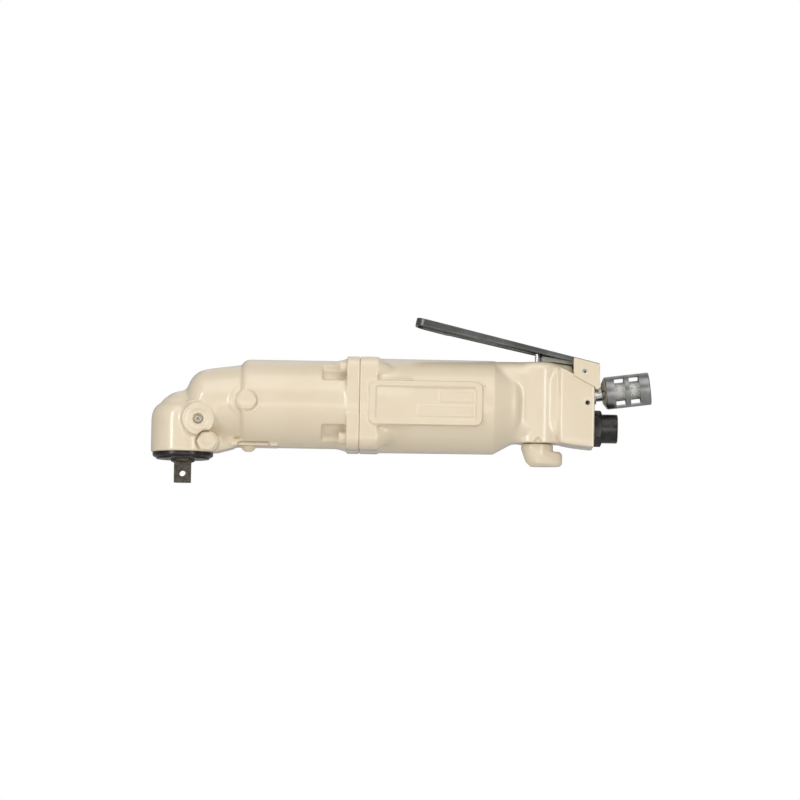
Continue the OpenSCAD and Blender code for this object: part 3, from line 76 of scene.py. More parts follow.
def add_object(name: str, data: bpy.types.ID) -> bpy.types.Object:
    """Adds an object to the scene.

    Args:
        name: The object's name.
        data: Its mesh, lamp or camera.

    Returns:
        The object.
    """
    piece = bpy.data.objects.new(name, data)
    bpy.context.scene.collection.objects.link(piece)
    return piece


def add_mesh(name: str, work: bmesh.types.BMesh) -> bpy.types.Object:
    """Turns a mesh in the making into an object, and frees it.

    Args:
        name: Name of the object and its mesh.
        work: The mesh in the making.

    Returns:
        The object, linked to the scene.
    """
    mesh = bpy.data.meshes.new(name)
    work.to_mesh(mesh)
    work.free()
    return add_object(name, mesh)


def bridge(work: bmesh.types.BMesh, first: Sequence[bmesh.types.BMVert],
           second: Sequence[bmesh.types.BMVert]) -> List[bmesh.types.BMFace]:
    """Joins two rows of points by a closed band of faces, which it returns."""
    turned = [(k, (k + 1) % len(first)) for k in range(len(first))]
    return [work.faces.new((first[k], first[n], second[n], second[k])) for k, n in turned]


class Axis(Enum):
    """The axis that a turned piece was turned about: 1 for each way across it."""

    UP = (1.0, 1.0, 0.0)
    BARREL = (0.0, 1.0, 1.0)
    SIDE = (1.0, 0.0, 1.0)

    def stretch(self, along: float, across: float) -> Point:
        """Factors for a point, one along the axis and one across it."""
        x, y, z = (across if share else along for share in self.value)
        return x, y, z


class Socket:
    """A shader node's output. Python's operators on it add Math nodes."""

    def __init__(self, tree: "Tree", output: bpy.types.NodeSocket) -> None:
        """Keeps the output and the tree that it belongs to."""
        self.tree = tree
        self.output = output

    def _math(self, operation: str, left: Number, right: Number) -> "Socket":
        """Adds one Math node."""
        return self.tree.node("ShaderNodeMath", {"operation": operation}, {0: left, 1: right})

    def __add__(self, other: Number) -> "Socket":
        """Sum."""
        return self._math("ADD", self, other)

    __radd__ = __add__

    def __sub__(self, other: Number) -> "Socket":
        """Difference."""
        return self._math("SUBTRACT", self, other)

    def __rsub__(self, other: Number) -> "Socket":
        """Difference from a number."""
        return self._math("SUBTRACT", other, self)

    def __mul__(self, other: Number) -> "Socket":
        """Product."""
        return self._math("MULTIPLY", self, other)

    __rmul__ = __mul__

    def wave(self) -> "Socket":
        """Sine of the value, in radians."""
        return self._math("SINE", self, 0.0)

    def ramp(self, low: float, high: float) -> "Socket":
        """Runs smoothly from 0 at low to 1 at high."""
        return self.tree.node("ShaderNodeMapRange", {"interpolation_type": "SMOOTHSTEP"},
                              {"Value": self, "From Min": low, "From Max": high})


class Tree:
    """The node tree of a material or a world, with one way to add nodes."""

    def __init__(self, owner: Union[bpy.types.Material, bpy.types.World], ending: str) -> None:
        """Empties the tree and adds its output node.

        Args:
            owner: The material or world.
            ending: Blender's name of the output node's type.
        """
        owner.use_nodes = True
        self.nodes = owner.node_tree.nodes
        self.links = owner.node_tree.links
        self.nodes.clear()
        self.end = self.nodes.new(ending).inputs["Surface"]

    def feed(self, target: bpy.types.NodeSocket, value: object) -> None:
        """Links a Socket to an input, or sets the input's own value.

        Args:
            target: The input.
            value: A Socket, a number, or a colour or point as a tuple.
        """
        if isinstance(value, Socket):
            self.links.new(value.output, target)
        elif isinstance(value, tuple) and target.type == "RGBA":
            target.default_value = (*value, 1.0)
        else:
            target.default_value = value

    def node(self, kind: str, settings: Optional[dict] = None, inputs: Optional[dict] = None,
             output: Union[int, str] = 0) -> Socket:
        """Adds a node of any kind.

        Args:
            kind: Blender's name of the node type.
            settings: The node's own settings, set first.
            inputs: Values or Sockets for its inputs, by name or place.
            output: The output to return, by name or place.

        Returns:
            The chosen output.
        """
        made = self.nodes.new(kind)
        for name, value in (settings or {}).items():
            setattr(made, name, value)
        for key, value in (inputs or {}).items():
            self.feed(made.inputs[key], value)
        return Socket(self, made.outputs[output])

    def for_camera(self, seen: Socket, other: Socket, share: float = 1.0) -> None:
        """Shows the camera one shader, and everything else another.

        Args:
            seen: The shader that the camera sees.
            other: The shader that lights and reflections see.
            share: Share of the first one in what the camera sees.
        """
        ray = self.node("ShaderNodeLightPath", output="Is Camera Ray") * share
        self.feed(self.end, self.node("ShaderNodeMixShader", {}, {0: ray, 1: other, 2: seen}))


class Graph(Tree):
    """A material's node tree around one Principled shader."""

    def __init__(self, name: str) -> None:
        """Makes the material and its shader.

        Args:
            name: The material's name.
        """
        self.material = bpy.data.materials.new(name)
        super().__init__(self.material, "ShaderNodeOutputMaterial")
        self.shader = self.nodes.new("ShaderNodeBsdfPrincipled")
        self.body = Socket(self, self.shader.outputs["BSDF"])
        self.feed(self.end, self.body)

    def place(self, stretch: Point = EVEN) -> Socket:
        """Point on the piece in its own frame, in metres times a factor for each axis."""
        point = self.node("ShaderNodeTexCoord", output="Object")
        return self.node("ShaderNodeVectorMath", {"operation": "MULTIPLY"}, {0: point, 1: stretch})

    def noise(self, size_mm: float, detail: float = 3.0, rough: float = 0.5,
              point: Optional[Socket] = None) -> Socket:
        """Soft noise from 0 to 1 in blotches about size_mm across, at a point or on the piece."""
        return self.node("ShaderNodeTexNoise", {}, {
            "Vector": self.place() if point is None else point,
            "Scale": 1.0 / (size_mm * MM), "Detail": detail, "Roughness": rough})

    def grains(self, size_mm: float) -> Socket:
        """Distance to the middles of packed grains about size_mm across."""
        return self.node("ShaderNodeTexVoronoi", {"feature": "F1"},
                         {"Vector": self.place(), "Scale": 1.0 / (size_mm * MM)})

    def mix(self, share: Number, first: object, second: object) -> Socket:
        """Blends two colours by a share."""
        return self.node("ShaderNodeMix", {"data_type": "RGBA"},
                         {0: share, 6: first, 7: second}, output=2)

    def radius(self, centre: Point, axis: Axis) -> Socket:
        """Distance from a turning axis through a point, in metres.

        Args:
            centre: A point on the axis.
            axis: The way that the axis runs.

        Returns:
            The distance.
        """
        offset = self.node("ShaderNodeVectorMath", {"operation": "SUBTRACT"},
                           {0: self.place(), 1: centre})
        flat = self.node("ShaderNodeVectorMath", {"operation": "MULTIPLY"},
                         {0: offset, 1: axis.value})
        return self.node("ShaderNodeVectorMath", {"operation": "LENGTH"}, {0: flat}, output="Value")

    def bump(self, height: Socket, depth_mm: float, strength: float = 1.0,
             under: Optional[Socket] = None) -> Socket:
        """Turns a height from 0 to 1 into a normal.

        Args:
            height: The height.
            depth_mm: Depth that a height of 1 stands for.
            strength: Share of the bump that shows.
            under: A normal that this bump lies on.

        Returns:
            The bumped normal.
        """
        inputs: dict = {"Height": height, "Distance": depth_mm * MM, "Strength": strength}
        if under is not None:
            inputs["Normal"] = under
        return self.node("ShaderNodeBump", {}, inputs)

    def surface(self, **sockets: object) -> None:
        """Sets or links the shader's inputs, named with underscores for spaces."""
        for name, value in sockets.items():
            self.feed(self.shader.inputs[name.replace("_", " ")], value)


@dataclass(frozen=True)
class Finish:
    """A surface finish, which makes its material once."""

    name: str

    def paint(self, graph: Graph) -> None:
        """Sets the shader up.

        Args:
            graph: The material's nodes.
        """
        raise NotImplementedError

    def material(self) -> bpy.types.Material:
        """Makes the finish's material on its first use.

        Returns:
            The material.
        """
        title = "look_" + self.name
        found = bpy.data.materials.get(title)
        if found is None:
            graph = Graph(title)
            self.paint(graph)
            found = graph.material
        return found


@dataclass(frozen=True)
class CastEnamel(Finish):
    """Glossy enamel over a sand-blasted aluminium casting."""

    colour: Colour = linear(230, 216, 190)
    shade: Colour = linear(225, 210, 182)
    speck: Colour = linear(176, 158, 128)
    rough: float = 0.30
    rough_swing: float = 0.10
    cloud_mm: float = 38.0
    speck_mm: float = 1.1
    speck_share: float = 0.06
    gloss_mm: float = 9.0
    peel_mm: float = 2.2
    peel_depth_mm: float = 0.016
    grain_mm: float = 0.5
    grain_depth_mm: float = 0.004
    coat: float = 0.8
    coat_rough: float = 0.06
    ior: float = 1.5

    def paint(self, graph: Graph) -> None:
        """Cream paint with orange peel, faint casting grain and uneven tone.

        Args:
            graph: The material's nodes.
        """
        tone = graph.mix(graph.noise(self.cloud_mm).ramp(0.30, 0.75), self.colour, self.shade)
        specks = graph.noise(self.speck_mm, detail=2.0, rough=0.6).ramp(0.72, 0.80)
        grain = graph.bump(graph.noise(self.grain_mm, detail=2.0, rough=0.6),
                           self.grain_depth_mm, strength=0.4)
        peel = graph.noise(self.peel_mm, detail=2.0, rough=0.4)
        graph.surface(
            Base_Color=graph.mix(specks * self.speck_share, tone, self.speck),
            Roughness=graph.noise(self.gloss_mm, rough=0.6) * self.rough_swing
            + (self.rough - self.rough_swing / 2.0),
            Normal=graph.bump(peel, self.peel_depth_mm, strength=0.5, under=grain),
            Coat_Weight=self.coat, Coat_Roughness=self.coat_rough, IOR=self.ior)


@dataclass(frozen=True)
class TurnedMetal(Finish):
    """Bare or plated metal with fine marks from turning or grinding."""

    colour: Colour = (0.6, 0.6, 0.6)
    dark: Colour = (0.4, 0.4, 0.4)
    rough: float = 0.32
    axis: Axis = Axis.UP
    centre: Point = (0.0, 0.0, 0.0)
    pitch_mm: float = 0.22
    depth_mm: float = 0.004
    wander_mm: float = 6.0
    wander: float = 3.0
    mark_mm: float = 1.0
    mark_along: float = 6.0
    mark_across: float = 0.25
    mark_swing: float = 0.16
    blotch_mm: float = 5.0
    blotch_swing: float = 0.10

    def paint(self, graph: Graph) -> None:
        """Metal whose tone, gloss and rings vary over the piece.

        Args:
            graph: The material's nodes.
        """
        turns = graph.radius(self.centre, self.axis) * (math.tau / (self.pitch_mm * MM))
        rings = (turns + graph.noise(self.wander_mm, detail=2.0) * self.wander).wave() * 0.5 + 0.5
        marks = graph.noise(self.mark_mm, rough=0.65, point=graph.place(
            self.axis.stretch(self.mark_along, self.mark_across)))
        blotch = graph.noise(self.blotch_mm, detail=4.0, rough=0.6)
        graph.surface(
            Base_Color=graph.mix(blotch.ramp(0.30, 0.75), self.colour, self.dark),
            Roughness=marks * self.mark_swing + blotch * self.blotch_swing
            + (self.rough - (self.mark_swing + self.blotch_swing) / 2.0),
            Normal=graph.bump(marks * 0.6 + rings * 0.4, self.depth_mm, strength=0.7),
            Metallic=1.0)


@dataclass(frozen=True)
class BlackOxide(Finish):
    """Steel blackened in a hot bath, worn brighter in scattered spots."""

    colour: Colour = linear(56, 55, 54)
    paler: Colour = linear(72, 70, 68)
    worn: Colour = linear(118, 117, 114)
    rough: float = 0.26
    rough_swing: float = 0.18
    blotch_mm: float = 3.5
    rub_mm: float = 1.6
    rub_share: float = 0.25
    grain_mm: float = 0.35
    grain_depth_mm: float = 0.006
    metallic: float = 0.85

    def paint(self, graph: Graph) -> None:
        """Near-black steel with uneven gloss and rubbed spots.

        Args:
            graph: The material's nodes.
        """
        blotch = graph.noise(self.blotch_mm, detail=4.0, rough=0.6)
        rubbed = graph.noise(self.rub_mm, detail=4.0, rough=0.7).ramp(0.62, 0.74)
        body = graph.mix(blotch.ramp(0.35, 0.7), self.colour, self.paler)
        graph.surface(
            Base_Color=graph.mix(rubbed * self.rub_share, body, self.worn),
            Roughness=blotch * self.rough_swing + (self.rough - self.rough_swing / 2.0),
            Normal=graph.bump(graph.noise(self.grain_mm, rough=0.6), self.grain_depth_mm,
                              strength=0.6),
            Metallic=self.metallic)


@dataclass(frozen=True)
class Phosphate(Finish):
    """Manganese phosphate on a forged drive end: brown-grey and finely crystalline."""

    colour: Colour = linear(104, 99, 89)
    dark: Colour = linear(74, 69, 61)
    rough: float = 0.41
    rough_swing: float = 0.20
    blotch_mm: float = 2.4
    crystal_mm: float = 0.22
    crystal_depth_mm: float = 0.012
    metallic: float = 0.8

    def paint(self, graph: Graph) -> None:
        """Mottled brown-grey steel with a crystalline surface.

        Args:
            graph: The material's nodes.
        """
        blotch = graph.noise(self.blotch_mm, detail=5.0, rough=0.65)
        crystal = graph.grains(self.crystal_mm)
        graph.surface(
            Base_Color=graph.mix(blotch.ramp(0.32, 0.68), self.colour, self.dark),
            Roughness=crystal * self.rough_swing + self.rough,
            Normal=graph.bump(crystal, self.crystal_depth_mm, strength=0.6),
            Metallic=self.metallic)


@dataclass(frozen=True)
class SheetSteel(Finish):
    """Pressed sheet steel under a dark satin plating, drawn along its length."""

    colour: Colour = linear(120, 121, 120)
    dark: Colour = linear(92, 93, 92)
    worn: Colour = linear(176, 177, 174)
    rough: float = 0.18
    slope: float = 13.4
    line_mm: float = 0.30
    line_along: float = 0.03
    line_depth_mm: float = 0.006
    line_swing: float = 0.14
    blotch_mm: float = 14.0
    blotch_swing: float = 0.10
    dent_mm: float = 9.0
    dent_depth_mm: float = 0.03
    wear_share: float = 0.35
    metallic: float = 0.92

    def paint(self, graph: Graph) -> None:
        """Dark plate with long faint draw lines, soft blotches and worn edges.

        Args:
            graph: The material's nodes.
        """
        level = graph.node("ShaderNodeVectorRotate", {"rotation_type": "Y_AXIS"},
                           {"Vector": graph.place(), "Angle": -math.radians(self.slope)})
        drawn = graph.node("ShaderNodeVectorMath", {"operation": "MULTIPLY"},
                           {0: level, 1: (self.line_along, 1.0, 1.0)})
        lines = graph.noise(self.line_mm, rough=0.6, point=drawn)
        blotch = graph.noise(self.blotch_mm, detail=4.0, rough=0.55)
        body = graph.mix(blotch.ramp(0.3, 0.7), self.colour, self.dark)
        dents = graph.bump(graph.noise(self.dent_mm, detail=2.0, rough=0.4),
                           self.dent_depth_mm, strength=0.5)
        edges = graph.node("ShaderNodeNewGeometry", output="Pointiness").ramp(0.53, 0.58)
        graph.surface(
            Base_Color=graph.mix(edges * self.wear_share, body, self.worn),
            Roughness=lines * self.line_swing + blotch * self.blotch_swing + self.rough,
            Normal=graph.bump(lines, self.line_depth_mm, strength=0.5, under=dents),
            Metallic=self.metallic)


@dataclass(frozen=True)
class Sintered(Finish):
    """Sintered metal: fused grains with dark pores."""

    # Painted light: the grains are lighter than their own pale grey, against the sleeve's shade.
    colour: Colour = linear(238, 239, 234)
    pore: Colour = linear(168, 168, 162)
    rough: float = 0.42
    rough_swing: float = 0.25
    grain_mm: float = 0.34
    grain_depth_mm: float = 0.10
    metallic: float = 0.55

    def paint(self, graph: Graph) -> None:
        """Pale grains, lightened further as painted light, proud of the pores between them."""
        grain = graph.grains(self.grain_mm)
        graph.surface(
            Base_Color=graph.mix(grain.ramp(0.35, 0.75), self.colour, self.pore),
            Roughness=grain * self.rough_swing + self.rough,
            Normal=graph.bump(1.0 - grain, self.grain_depth_mm, strength=0.9),
            Metallic=self.metallic)


@dataclass(frozen=True)
class Moulded(Finish):
    """A moulded or pressed non-metal, such as rubber or fibre laminate."""

    colour: Colour = (0.03, 0.03, 0.03)
    fleck: Colour = (0.05, 0.05, 0.05)
    rough: float = 0.6
    fleck_mm: float = 0.8
    stretch: Point = EVEN
    rough_swing: float = 0.2
    skin_depth_mm: float = 0.02

    def paint(self, graph: Graph) -> None:
        """Matt body with flecks and a fine skin."""
        fleck = graph.noise(self.fleck_mm, detail=4.0, rough=0.6, point=graph.place(self.stretch))
        graph.surface(
            Base_Color=graph.mix(fleck.ramp(0.4, 0.65), self.colour, self.fleck),
            Roughness=fleck * self.rough_swing + (self.rough - self.rough_swing / 2.0),
            Normal=graph.bump(fleck, self.skin_depth_mm, strength=0.6))


AXIS_Z = 45.6
BARREL_CENTRE: Point = (0.0, 0.0, AXIS_Z * MM)
NIPPLE_CENTRE: Point = (9.0 * MM, 0.0, 35.1 * MM)
SILENCER_CENTRE: Point = (234.7 * MM, 0.0, 54.2 * MM)
CREAM = CastEnamel("cream_enamel")
BLACK = BlackOxide("black_oxide")
DRIVE = Phosphate("drive_phosphate")
LEVER = SheetSteel("lever_plating")
# The element's near-white grains are painted light against the sleeve's shade.
SINTER = Sintered("sintered_element")
# The stop's grey-green is lightened as painted light, against the shade under the lever.
STOP = Moulded("stop_coating", linear(168, 172, 160), linear(148, 152, 140), 0.38, 0.6)
RUBBER = Moulded("seal_rubber", linear(34, 34, 35), linear(46, 46, 46), 0.62, 0.5)
LAMINATE = Moulded("vane_laminate", linear(116, 82, 50), linear(84, 56, 34), 0.55, 0.6,
                   (0.15, 1.0, 1.0))
GEAR_STEEL = TurnedMetal("gear_steel", linear(170, 172, 176), linear(142, 144, 149), 0.30,
                         Axis.BARREL, BARREL_CENTRE)
RACE_STEEL = TurnedMetal("bearing_steel", linear(198, 200, 203), linear(176, 178, 182), 0.20,
                         Axis.BARREL, BARREL_CENTRE)
HEAD_RACE = TurnedMetal("head_bearing_steel", linear(198, 200, 203), linear(176, 178, 182), 0.20)
MOTOR_STEEL = TurnedMetal("motor_steel", linear(182, 184, 186), linear(158, 160, 163), 0.34,
                          Axis.BARREL, BARREL_CENTRE)
BRASS = TurnedMetal("turned_brass", linear(205, 168, 104), linear(182, 144, 84), 0.28)
CHROME = TurnedMetal("push_pin_chrome", linear(226, 227, 228), linear(206, 207, 209), 0.14,
                     depth_mm=0.001)
NIPPLE = TurnedMetal("nipple_plating", linear(196, 190, 176), linear(160, 153, 138), 0.28,
                     Axis.SIDE, NIPPLE_CENTRE)
SATIN = TurnedMetal("silencer_satin", linear(158, 158, 157), linear(138, 138, 137), 0.34,
                    Axis.BARREL, SILENCER_CENTRE, pitch_mm=0.3)
NECK = TurnedMetal("silencer_neck_plating", linear(214, 215, 212), linear(188, 189, 186), 0.24,
                   Axis.BARREL, SILENCER_CENTRE)


@dataclass(frozen=True)
class Zone:
    """A box in which inner, or else outer, corners are rounded, in millimetres."""

    low: Point
    high: Point
    rounds: int
    fade: float = 3.0
    outer: bool = False

    def share(self, points: np.ndarray) -> np.ndarray:
        """Share from 0 to 1 by which each point lies in the box.

        Args:
            points: Points in millimetres, one a row.

        Returns:
            One share for each point.
        """
        outside = np.maximum(np.maximum(self.low - points, points - self.high), 0.0).max(axis=1)
        return np.clip(1.0 - outside / self.fade, 0.0, 1.0)


@dataclass(frozen=True)
class Ridge:
    """A raised or sunk rounded rectangle on the side towards -Y, in millimetres."""

    centre: Flat
    half: Flat
    corner: float
    height: float
    width: float = 0.0
    soft: float = 1.0
    reach: float = -24.5

    def lift(self, points: np.ndarray) -> np.ndarray:
        """Height that the ridge adds at each point.

        Args:
            points: Points in millimetres, one a row.

        Returns:
            One height for each point.
        """
        local = np.abs(points[:, [0, 2]] - self.centre) - self.half + self.corner
        gap = (np.linalg.norm(np.maximum(local, 0.0), axis=1)
               + np.minimum(local.max(axis=1), 0.0) - self.corner)
        if self.width > 0.0:
            gap = np.abs(gap + self.width / 2.0) - self.width / 2.0
        share = np.clip(0.5 - gap / self.soft, 0.0, 1.0)
        return self.height * share * share * (3.0 - 2.0 * share) * (points[:, 1] < self.reach)


@dataclass(frozen=True)
class Crown:
    """The greatest height of the head's cap and of the waist's nose, in millimetres."""

    cap: Tuple[Flat, ...]
    nose: Tuple[Flat, ...]
    axis_z: float
    end_x: float

    def trim(self, points: np.ndarray) -> np.ndarray:
        """Lowers the points that stand above both the cap and the nose.

        Args:
            points: Points in millimetres, one a row.

        Returns:
            The points with their new heights.
        """
        reach, height = zip(*self.cap)
        cap = np.interp(np.hypot(points[:, 0], points[:, 1]), reach, height)
        back, radius = zip(*self.nose)
        nose_r = np.interp(points[:, 0], back, radius, left=0.0)
        nose = self.axis_z + np.sqrt(np.maximum(nose_r ** 2 - points[:, 1] ** 2, 0.0))
        top = np.where(nose_r > 0.0, np.maximum(cap, nose), cap)
        touched = (points[:, 0] < self.end_x) & (points[:, 2] > top)
        points = points.copy()
        points[touched, 2] = top[touched]
        return points


@dataclass(frozen=True)
class Web:
    """A prism along Y that a casting's skin takes in or leaves out, in millimetres."""

    outline: Tuple[Flat, ...]
    near: float
    far: float

    @classmethod
    def round_bar(cls, centre: Flat, radius: float, near: float, far: float,
                  sides: int = 40) -> "Web":
        """Makes a prism that is as good as round."""
        turns = [math.tau * i / sides for i in range(sides)]
        return cls(tuple((centre[0] + radius * math.cos(t), centre[1] + radius * math.sin(t))
                         for t in turns), near, far)

    def add_to(self, work: bmesh.types.BMesh) -> None:
        """Adds the prism's faces to a mesh in the making.

        Args:
            work: The mesh in the making.
        """
        near, far = ([work.verts.new((x * MM, y * MM, z * MM)) for x, z in self.outline]
                     for y in (self.near, self.far))
        made = [work.faces.new(near), work.faces.new(list(reversed(far)))]
        made += bridge(work, far, near)
        bmesh.ops.recalc_face_normals(work, faces=made)


@dataclass(frozen=True)
class Collar:
    """A ring round an axis along Y that ends on the barrel's surface, in millimetres."""

    centre: Flat
    inner_r: float
    outer_r: float
    barrel_r: float
    waist_r: float
    step_x: float
    corner: float
    depth: float
    rim: float = 0.3
    shallow_y: float = -19.0
    steps: int = 64

    def surface(self, x: float, rise: float) -> float:
        """Y of the barrel's surface, which steps down to the waist at step_x.

        Args:
            x: Place along the barrel.
            rise: Height over the barrel's axis.

        Returns:
            The surface's Y on the side towards -Y.
        """
        radius = self.barrel_r
        if x < self.step_x:
            radius = self.waist_r
        elif x < self.step_x + self.corner:
            back = self.step_x + self.corner - x
            radius = max(self.waist_r,
                         self.barrel_r - self.corner + math.sqrt(self.corner ** 2 - back ** 2))
        return -math.sqrt(radius ** 2 - rise ** 2)

    def level(self, points: np.ndarray) -> np.ndarray:
        """Brings the outer points over the ring onto the barrel's surface.

        Args:
            points: Points in millimetres, one a row.

        Returns:
            The points with their new places across the tool.
        """
        away = np.hypot(points[:, 0] - self.centre[0], points[:, 2] - self.centre[1])
        over = ((away > self.inner_r + self.rim) & (away < self.outer_r + self.rim)
                & (points[:, 1] < self.shallow_y))
        points = points.copy()
        for i in np.flatnonzero(over):
            points[i, 1] = self.surface(points[i, 0], points[i, 2] - self.centre[1])
        return points

    def add_to(self, work: bmesh.types.BMesh) -> None:
        """Adds the ring's faces to a mesh in the making.

        Args:
            work: The mesh in the making.
        """
        rows = []
        for i in range(self.steps):
            turn = math.tau * i / self.steps
            row = []
            for radius, inside in ((self.inner_r, True), (self.outer_r, True),
                                   (self.outer_r, False), (self.inner_r, False)):
                x = self.centre[0] + radius * math.cos(turn)
                rise = radius * math.sin(turn)
                y = self.surface(x, rise) + (self.depth if inside else 0.0)
                row.append(work.verts.new((x * MM, y * MM, (self.centre[1] + rise) * MM)))
            rows.append(row)
        made = []
        for i in range(self.steps):
            made += bridge(work, rows[i], rows[(i + 1) % self.steps])
        bmesh.ops.recalc_face_normals(work, faces=made)


@dataclass(frozen=True)
class Casting:
    """How the unbroken skin that stands for a cast node is made.

    The voxels and rounds of smoothing act on all of it. Zones fill or wear corners, apart from
    what keeps hold, extras and cuts are taken in or left out, and ridges are relief towards -Y.
    """

    voxel_mm: float
    rounds: int
    zones: Tuple[Zone, ...] = ()
    keeps: Tuple[Zone, ...] = ()
    extras: Tuple[Union[Web, Collar], ...] = ()
    cuts: Tuple[Web, ...] = ()
    ridges: Tuple[Ridge, ...] = ()
    crown: Optional[Crown] = None


class MeshShop:
    """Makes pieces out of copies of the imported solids."""

    WELD_MM = 0.002
    RELAX_SHARE = 0.5
    FILLET_SHARE = 0.9
    LEAST_LENGTH = 1e-9
    CROWN_ROUNDS = 2
    LAST_ROUNDS = 1
    ROUND_FACES = 3
    HARD_DEGREES = 32.0

    bodies: Dict[str, str] = {
        node: body for body, nodes in frame["record"]["behaviour"]["bodies"].items()
        for node in nodes}
    slots: Dict[str, str] = {
        part["node"]: part["material_slot"] for part in frame["record"]["subparts"]}

    @classmethod
    def copy(cls, node: str) -> bpy.types.Object:
        """Copies a node's mesh into a new object.

        Args:
            node: The node to copy.

        Returns:
            The new object, linked to the scene.
        """
        mesh = frame["nodes"][node].data.copy()
        mesh.name = node + "_skin"
        return add_object(mesh.name, mesh)

    @classmethod
    def install(cls, piece: bpy.types.Object, node: str, finish: Finish) -> None:
        """Gives a piece its finish and body, and lets it stand for a node.

        Args:
            piece: The piece.
            node: The node that it stands for.
            finish: Its finish.
        """
        piece.data.materials.clear()
        piece.data.materials.append(finish.material())
        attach(piece, cls.bodies[node])
        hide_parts(node)
        log.info("%s stands for %s, in %s", piece.name, node, finish.name)

    @staticmethod
    def dress_node(node: str, finish: Finish) -> None:
        """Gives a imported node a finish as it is.

        Args:
            node: The node.
            finish: Its finish.
        """
        mesh = frame["nodes"][node].data
        mesh.materials.clear()
        mesh.materials.append(finish.material())
        log.info("%s is dressed in %s", node, finish.name)

    @staticmethod
    def weld(piece: bpy.types.Object, flat_degrees: float = 0.5,
             extras: Sequence[Union[Web, Collar]] = (), cuts: Sequence[Web] = ()) -> None:
        """Joins a copied mesh's split corners and melts its flat triangles together.

        Args:
            piece: The piece whose mesh is welded.
            flat_degrees: Greatest angle between triangles that melt together, or 0.
            extras: Closed forms to add to the mesh.
            cuts: Prisms to take out of it.
        """
        work = bmesh.new()
        work.from_mesh(piece.data)
        bmesh.ops.remove_doubles(work, verts=work.verts, dist=MeshShop.WELD_MM * MM)
        for extra in extras:
            extra.add_to(work)
        if flat_degrees > 0.0:
            bmesh.ops.dissolve_limit(work, angle_limit=math.radians(flat_degrees),
                                     verts=work.verts, edges=work.edges)
        work.to_mesh(piece.data)
        work.free()
        for cut in cuts:
            tool = bmesh.new()
            cut.add_to(tool)
            cutter = add_mesh("cutter", tool)
            MeshShop.modify(piece, "BOOLEAN", operation="DIFFERENCE", object=cutter)
            bpy.data.objects.remove(cutter)

    @staticmethod
    def modify(piece: bpy.types.Object, kind: str, **settings: object) -> None:
        """Puts a modifier on a piece and turns it into the piece's mesh.

        Args:
            piece: The piece.
            kind: Blender's name of the modifier's type.
            settings: The modifier's settings.
        """
        modifier = piece.modifiers.new(kind.lower(), kind)
        for name, value in settings.items():
            setattr(modifier, name, value)
        graph = bpy.context.evaluated_depsgraph_get()
        mesh = bpy.data.meshes.new_from_object(piece.evaluated_get(graph))
        piece.modifiers.clear()
        piece.data = mesh

    @staticmethod
    def shade(mesh: bpy.types.Mesh, sharp_degrees: Optional[float] = None) -> None:
        """Shades a mesh smooth.

        Args:
            mesh: The mesh.
            sharp_degrees: Least angle of an edge that stays sharp, or None.
        """
        mesh.polygons.foreach_set("use_smooth", [True] * len(mesh.polygons))
        if sharp_degrees is not None:
            mesh.set_sharp_from_angle(angle=math.radians(sharp_degrees))

    @staticmethod
    def table(rows: bpy.types.bpy_prop_collection, key: str, width: int,
              kind: type) -> np.ndarray:
        """Reads one property of all of a mesh's points, edges or faces.

        Args:
            rows: The points, edges or faces.
            key: The property.
            width: How many numbers it has.
            kind: The type of the numbers.

        Returns:
            A table with a row for each of them.
        """
        values = np.empty(len(rows) * width, dtype=kind)
        rows.foreach_get(key, values)
        return values.reshape(-1, width)

    @classmethod
    def soften(cls, node: str, finish: Finish, width_mm: float) -> None:
        """Replaces a node by a copy whose hard edges have small rounds.

        Args:
            node: The node to replace.
            finish: Its finish.
            width_mm: Width of the rounds.
        """
        piece = cls.copy(node)
        cls.weld(piece)
        cls.modify(piece, "BEVEL", width=width_mm * MM, segments=cls.ROUND_FACES,
                   limit_method="ANGLE", angle_limit=math.radians(cls.HARD_DEGREES),
                   use_clamp_overlap=True, harden_normals=False)
        cls.shade(piece.data, cls.HARD_DEGREES)
        cls.install(piece, node, finish)

    @classmethod
    def cast(cls, node: str, finish: Finish, casting: Casting) -> None:
        """Replaces a node by one unbroken skin with rounded edges and cast fillets.

        Args:
            node: The node to replace.
            finish: Its finish.
            casting: How the skin is made.
        """
        piece = cls.copy(node)
        cls.weld(piece, 0.0, casting.extras, casting.cuts)
        cls.modify(piece, "REMESH", mode="VOXEL", voxel_size=casting.voxel_mm * MM)
        mesh = piece.data
        points = cls.table(mesh.vertices, "co", 3, np.float64) / MM
        edges = cls.table(mesh.edges, "vertices", 2, np.int64)
        faces = cls.table(mesh.polygons, "vertices", 4, np.int64)
        points = cls.relax(points, edges, casting.rounds)
        for extra in casting.extras:
            if isinstance(extra, Collar):
                points = extra.level(points)
        if casting.crown is not None:
            points = cls.relax(casting.crown.trim(points), edges, cls.CROWN_ROUNDS)
        kept = np.zeros(len(points))
        for zone in casting.keeps:
            kept = np.maximum(kept, zone.share(points))
        for zone in casting.zones:
            points = cls.fillet(points, edges, faces, zone.share(points) * (1.0 - kept), zone)
        points = cls.relax(points, edges, cls.LAST_ROUNDS)
        for ridge in casting.ridges:
            points[:, 1] -= ridge.lift(points)
        mesh.vertices.foreach_set("co", (points * MM).ravel())
        cls.shade(mesh)
        mesh.update()
        cls.install(piece, node, finish)

    @staticmethod
    def drift(points: np.ndarray, edges: np.ndarray) -> np.ndarray:
        """Way from each point to the middle of its neighbours.

        Args:
            points: The skin's points.
            edges: Its edges.

        Returns:
            One way for each point.
        """
        count = len(points)
        degree = np.bincount(edges.ravel(), minlength=count).astype(float)
        total = np.stack([
            np.bincount(edges[:, 0], points[edges[:, 1], k], count)
            + np.bincount(edges[:, 1], points[edges[:, 0], k], count) for k in range(3)], axis=1)
        return total / np.maximum(degree, 1.0)[:, None] - points

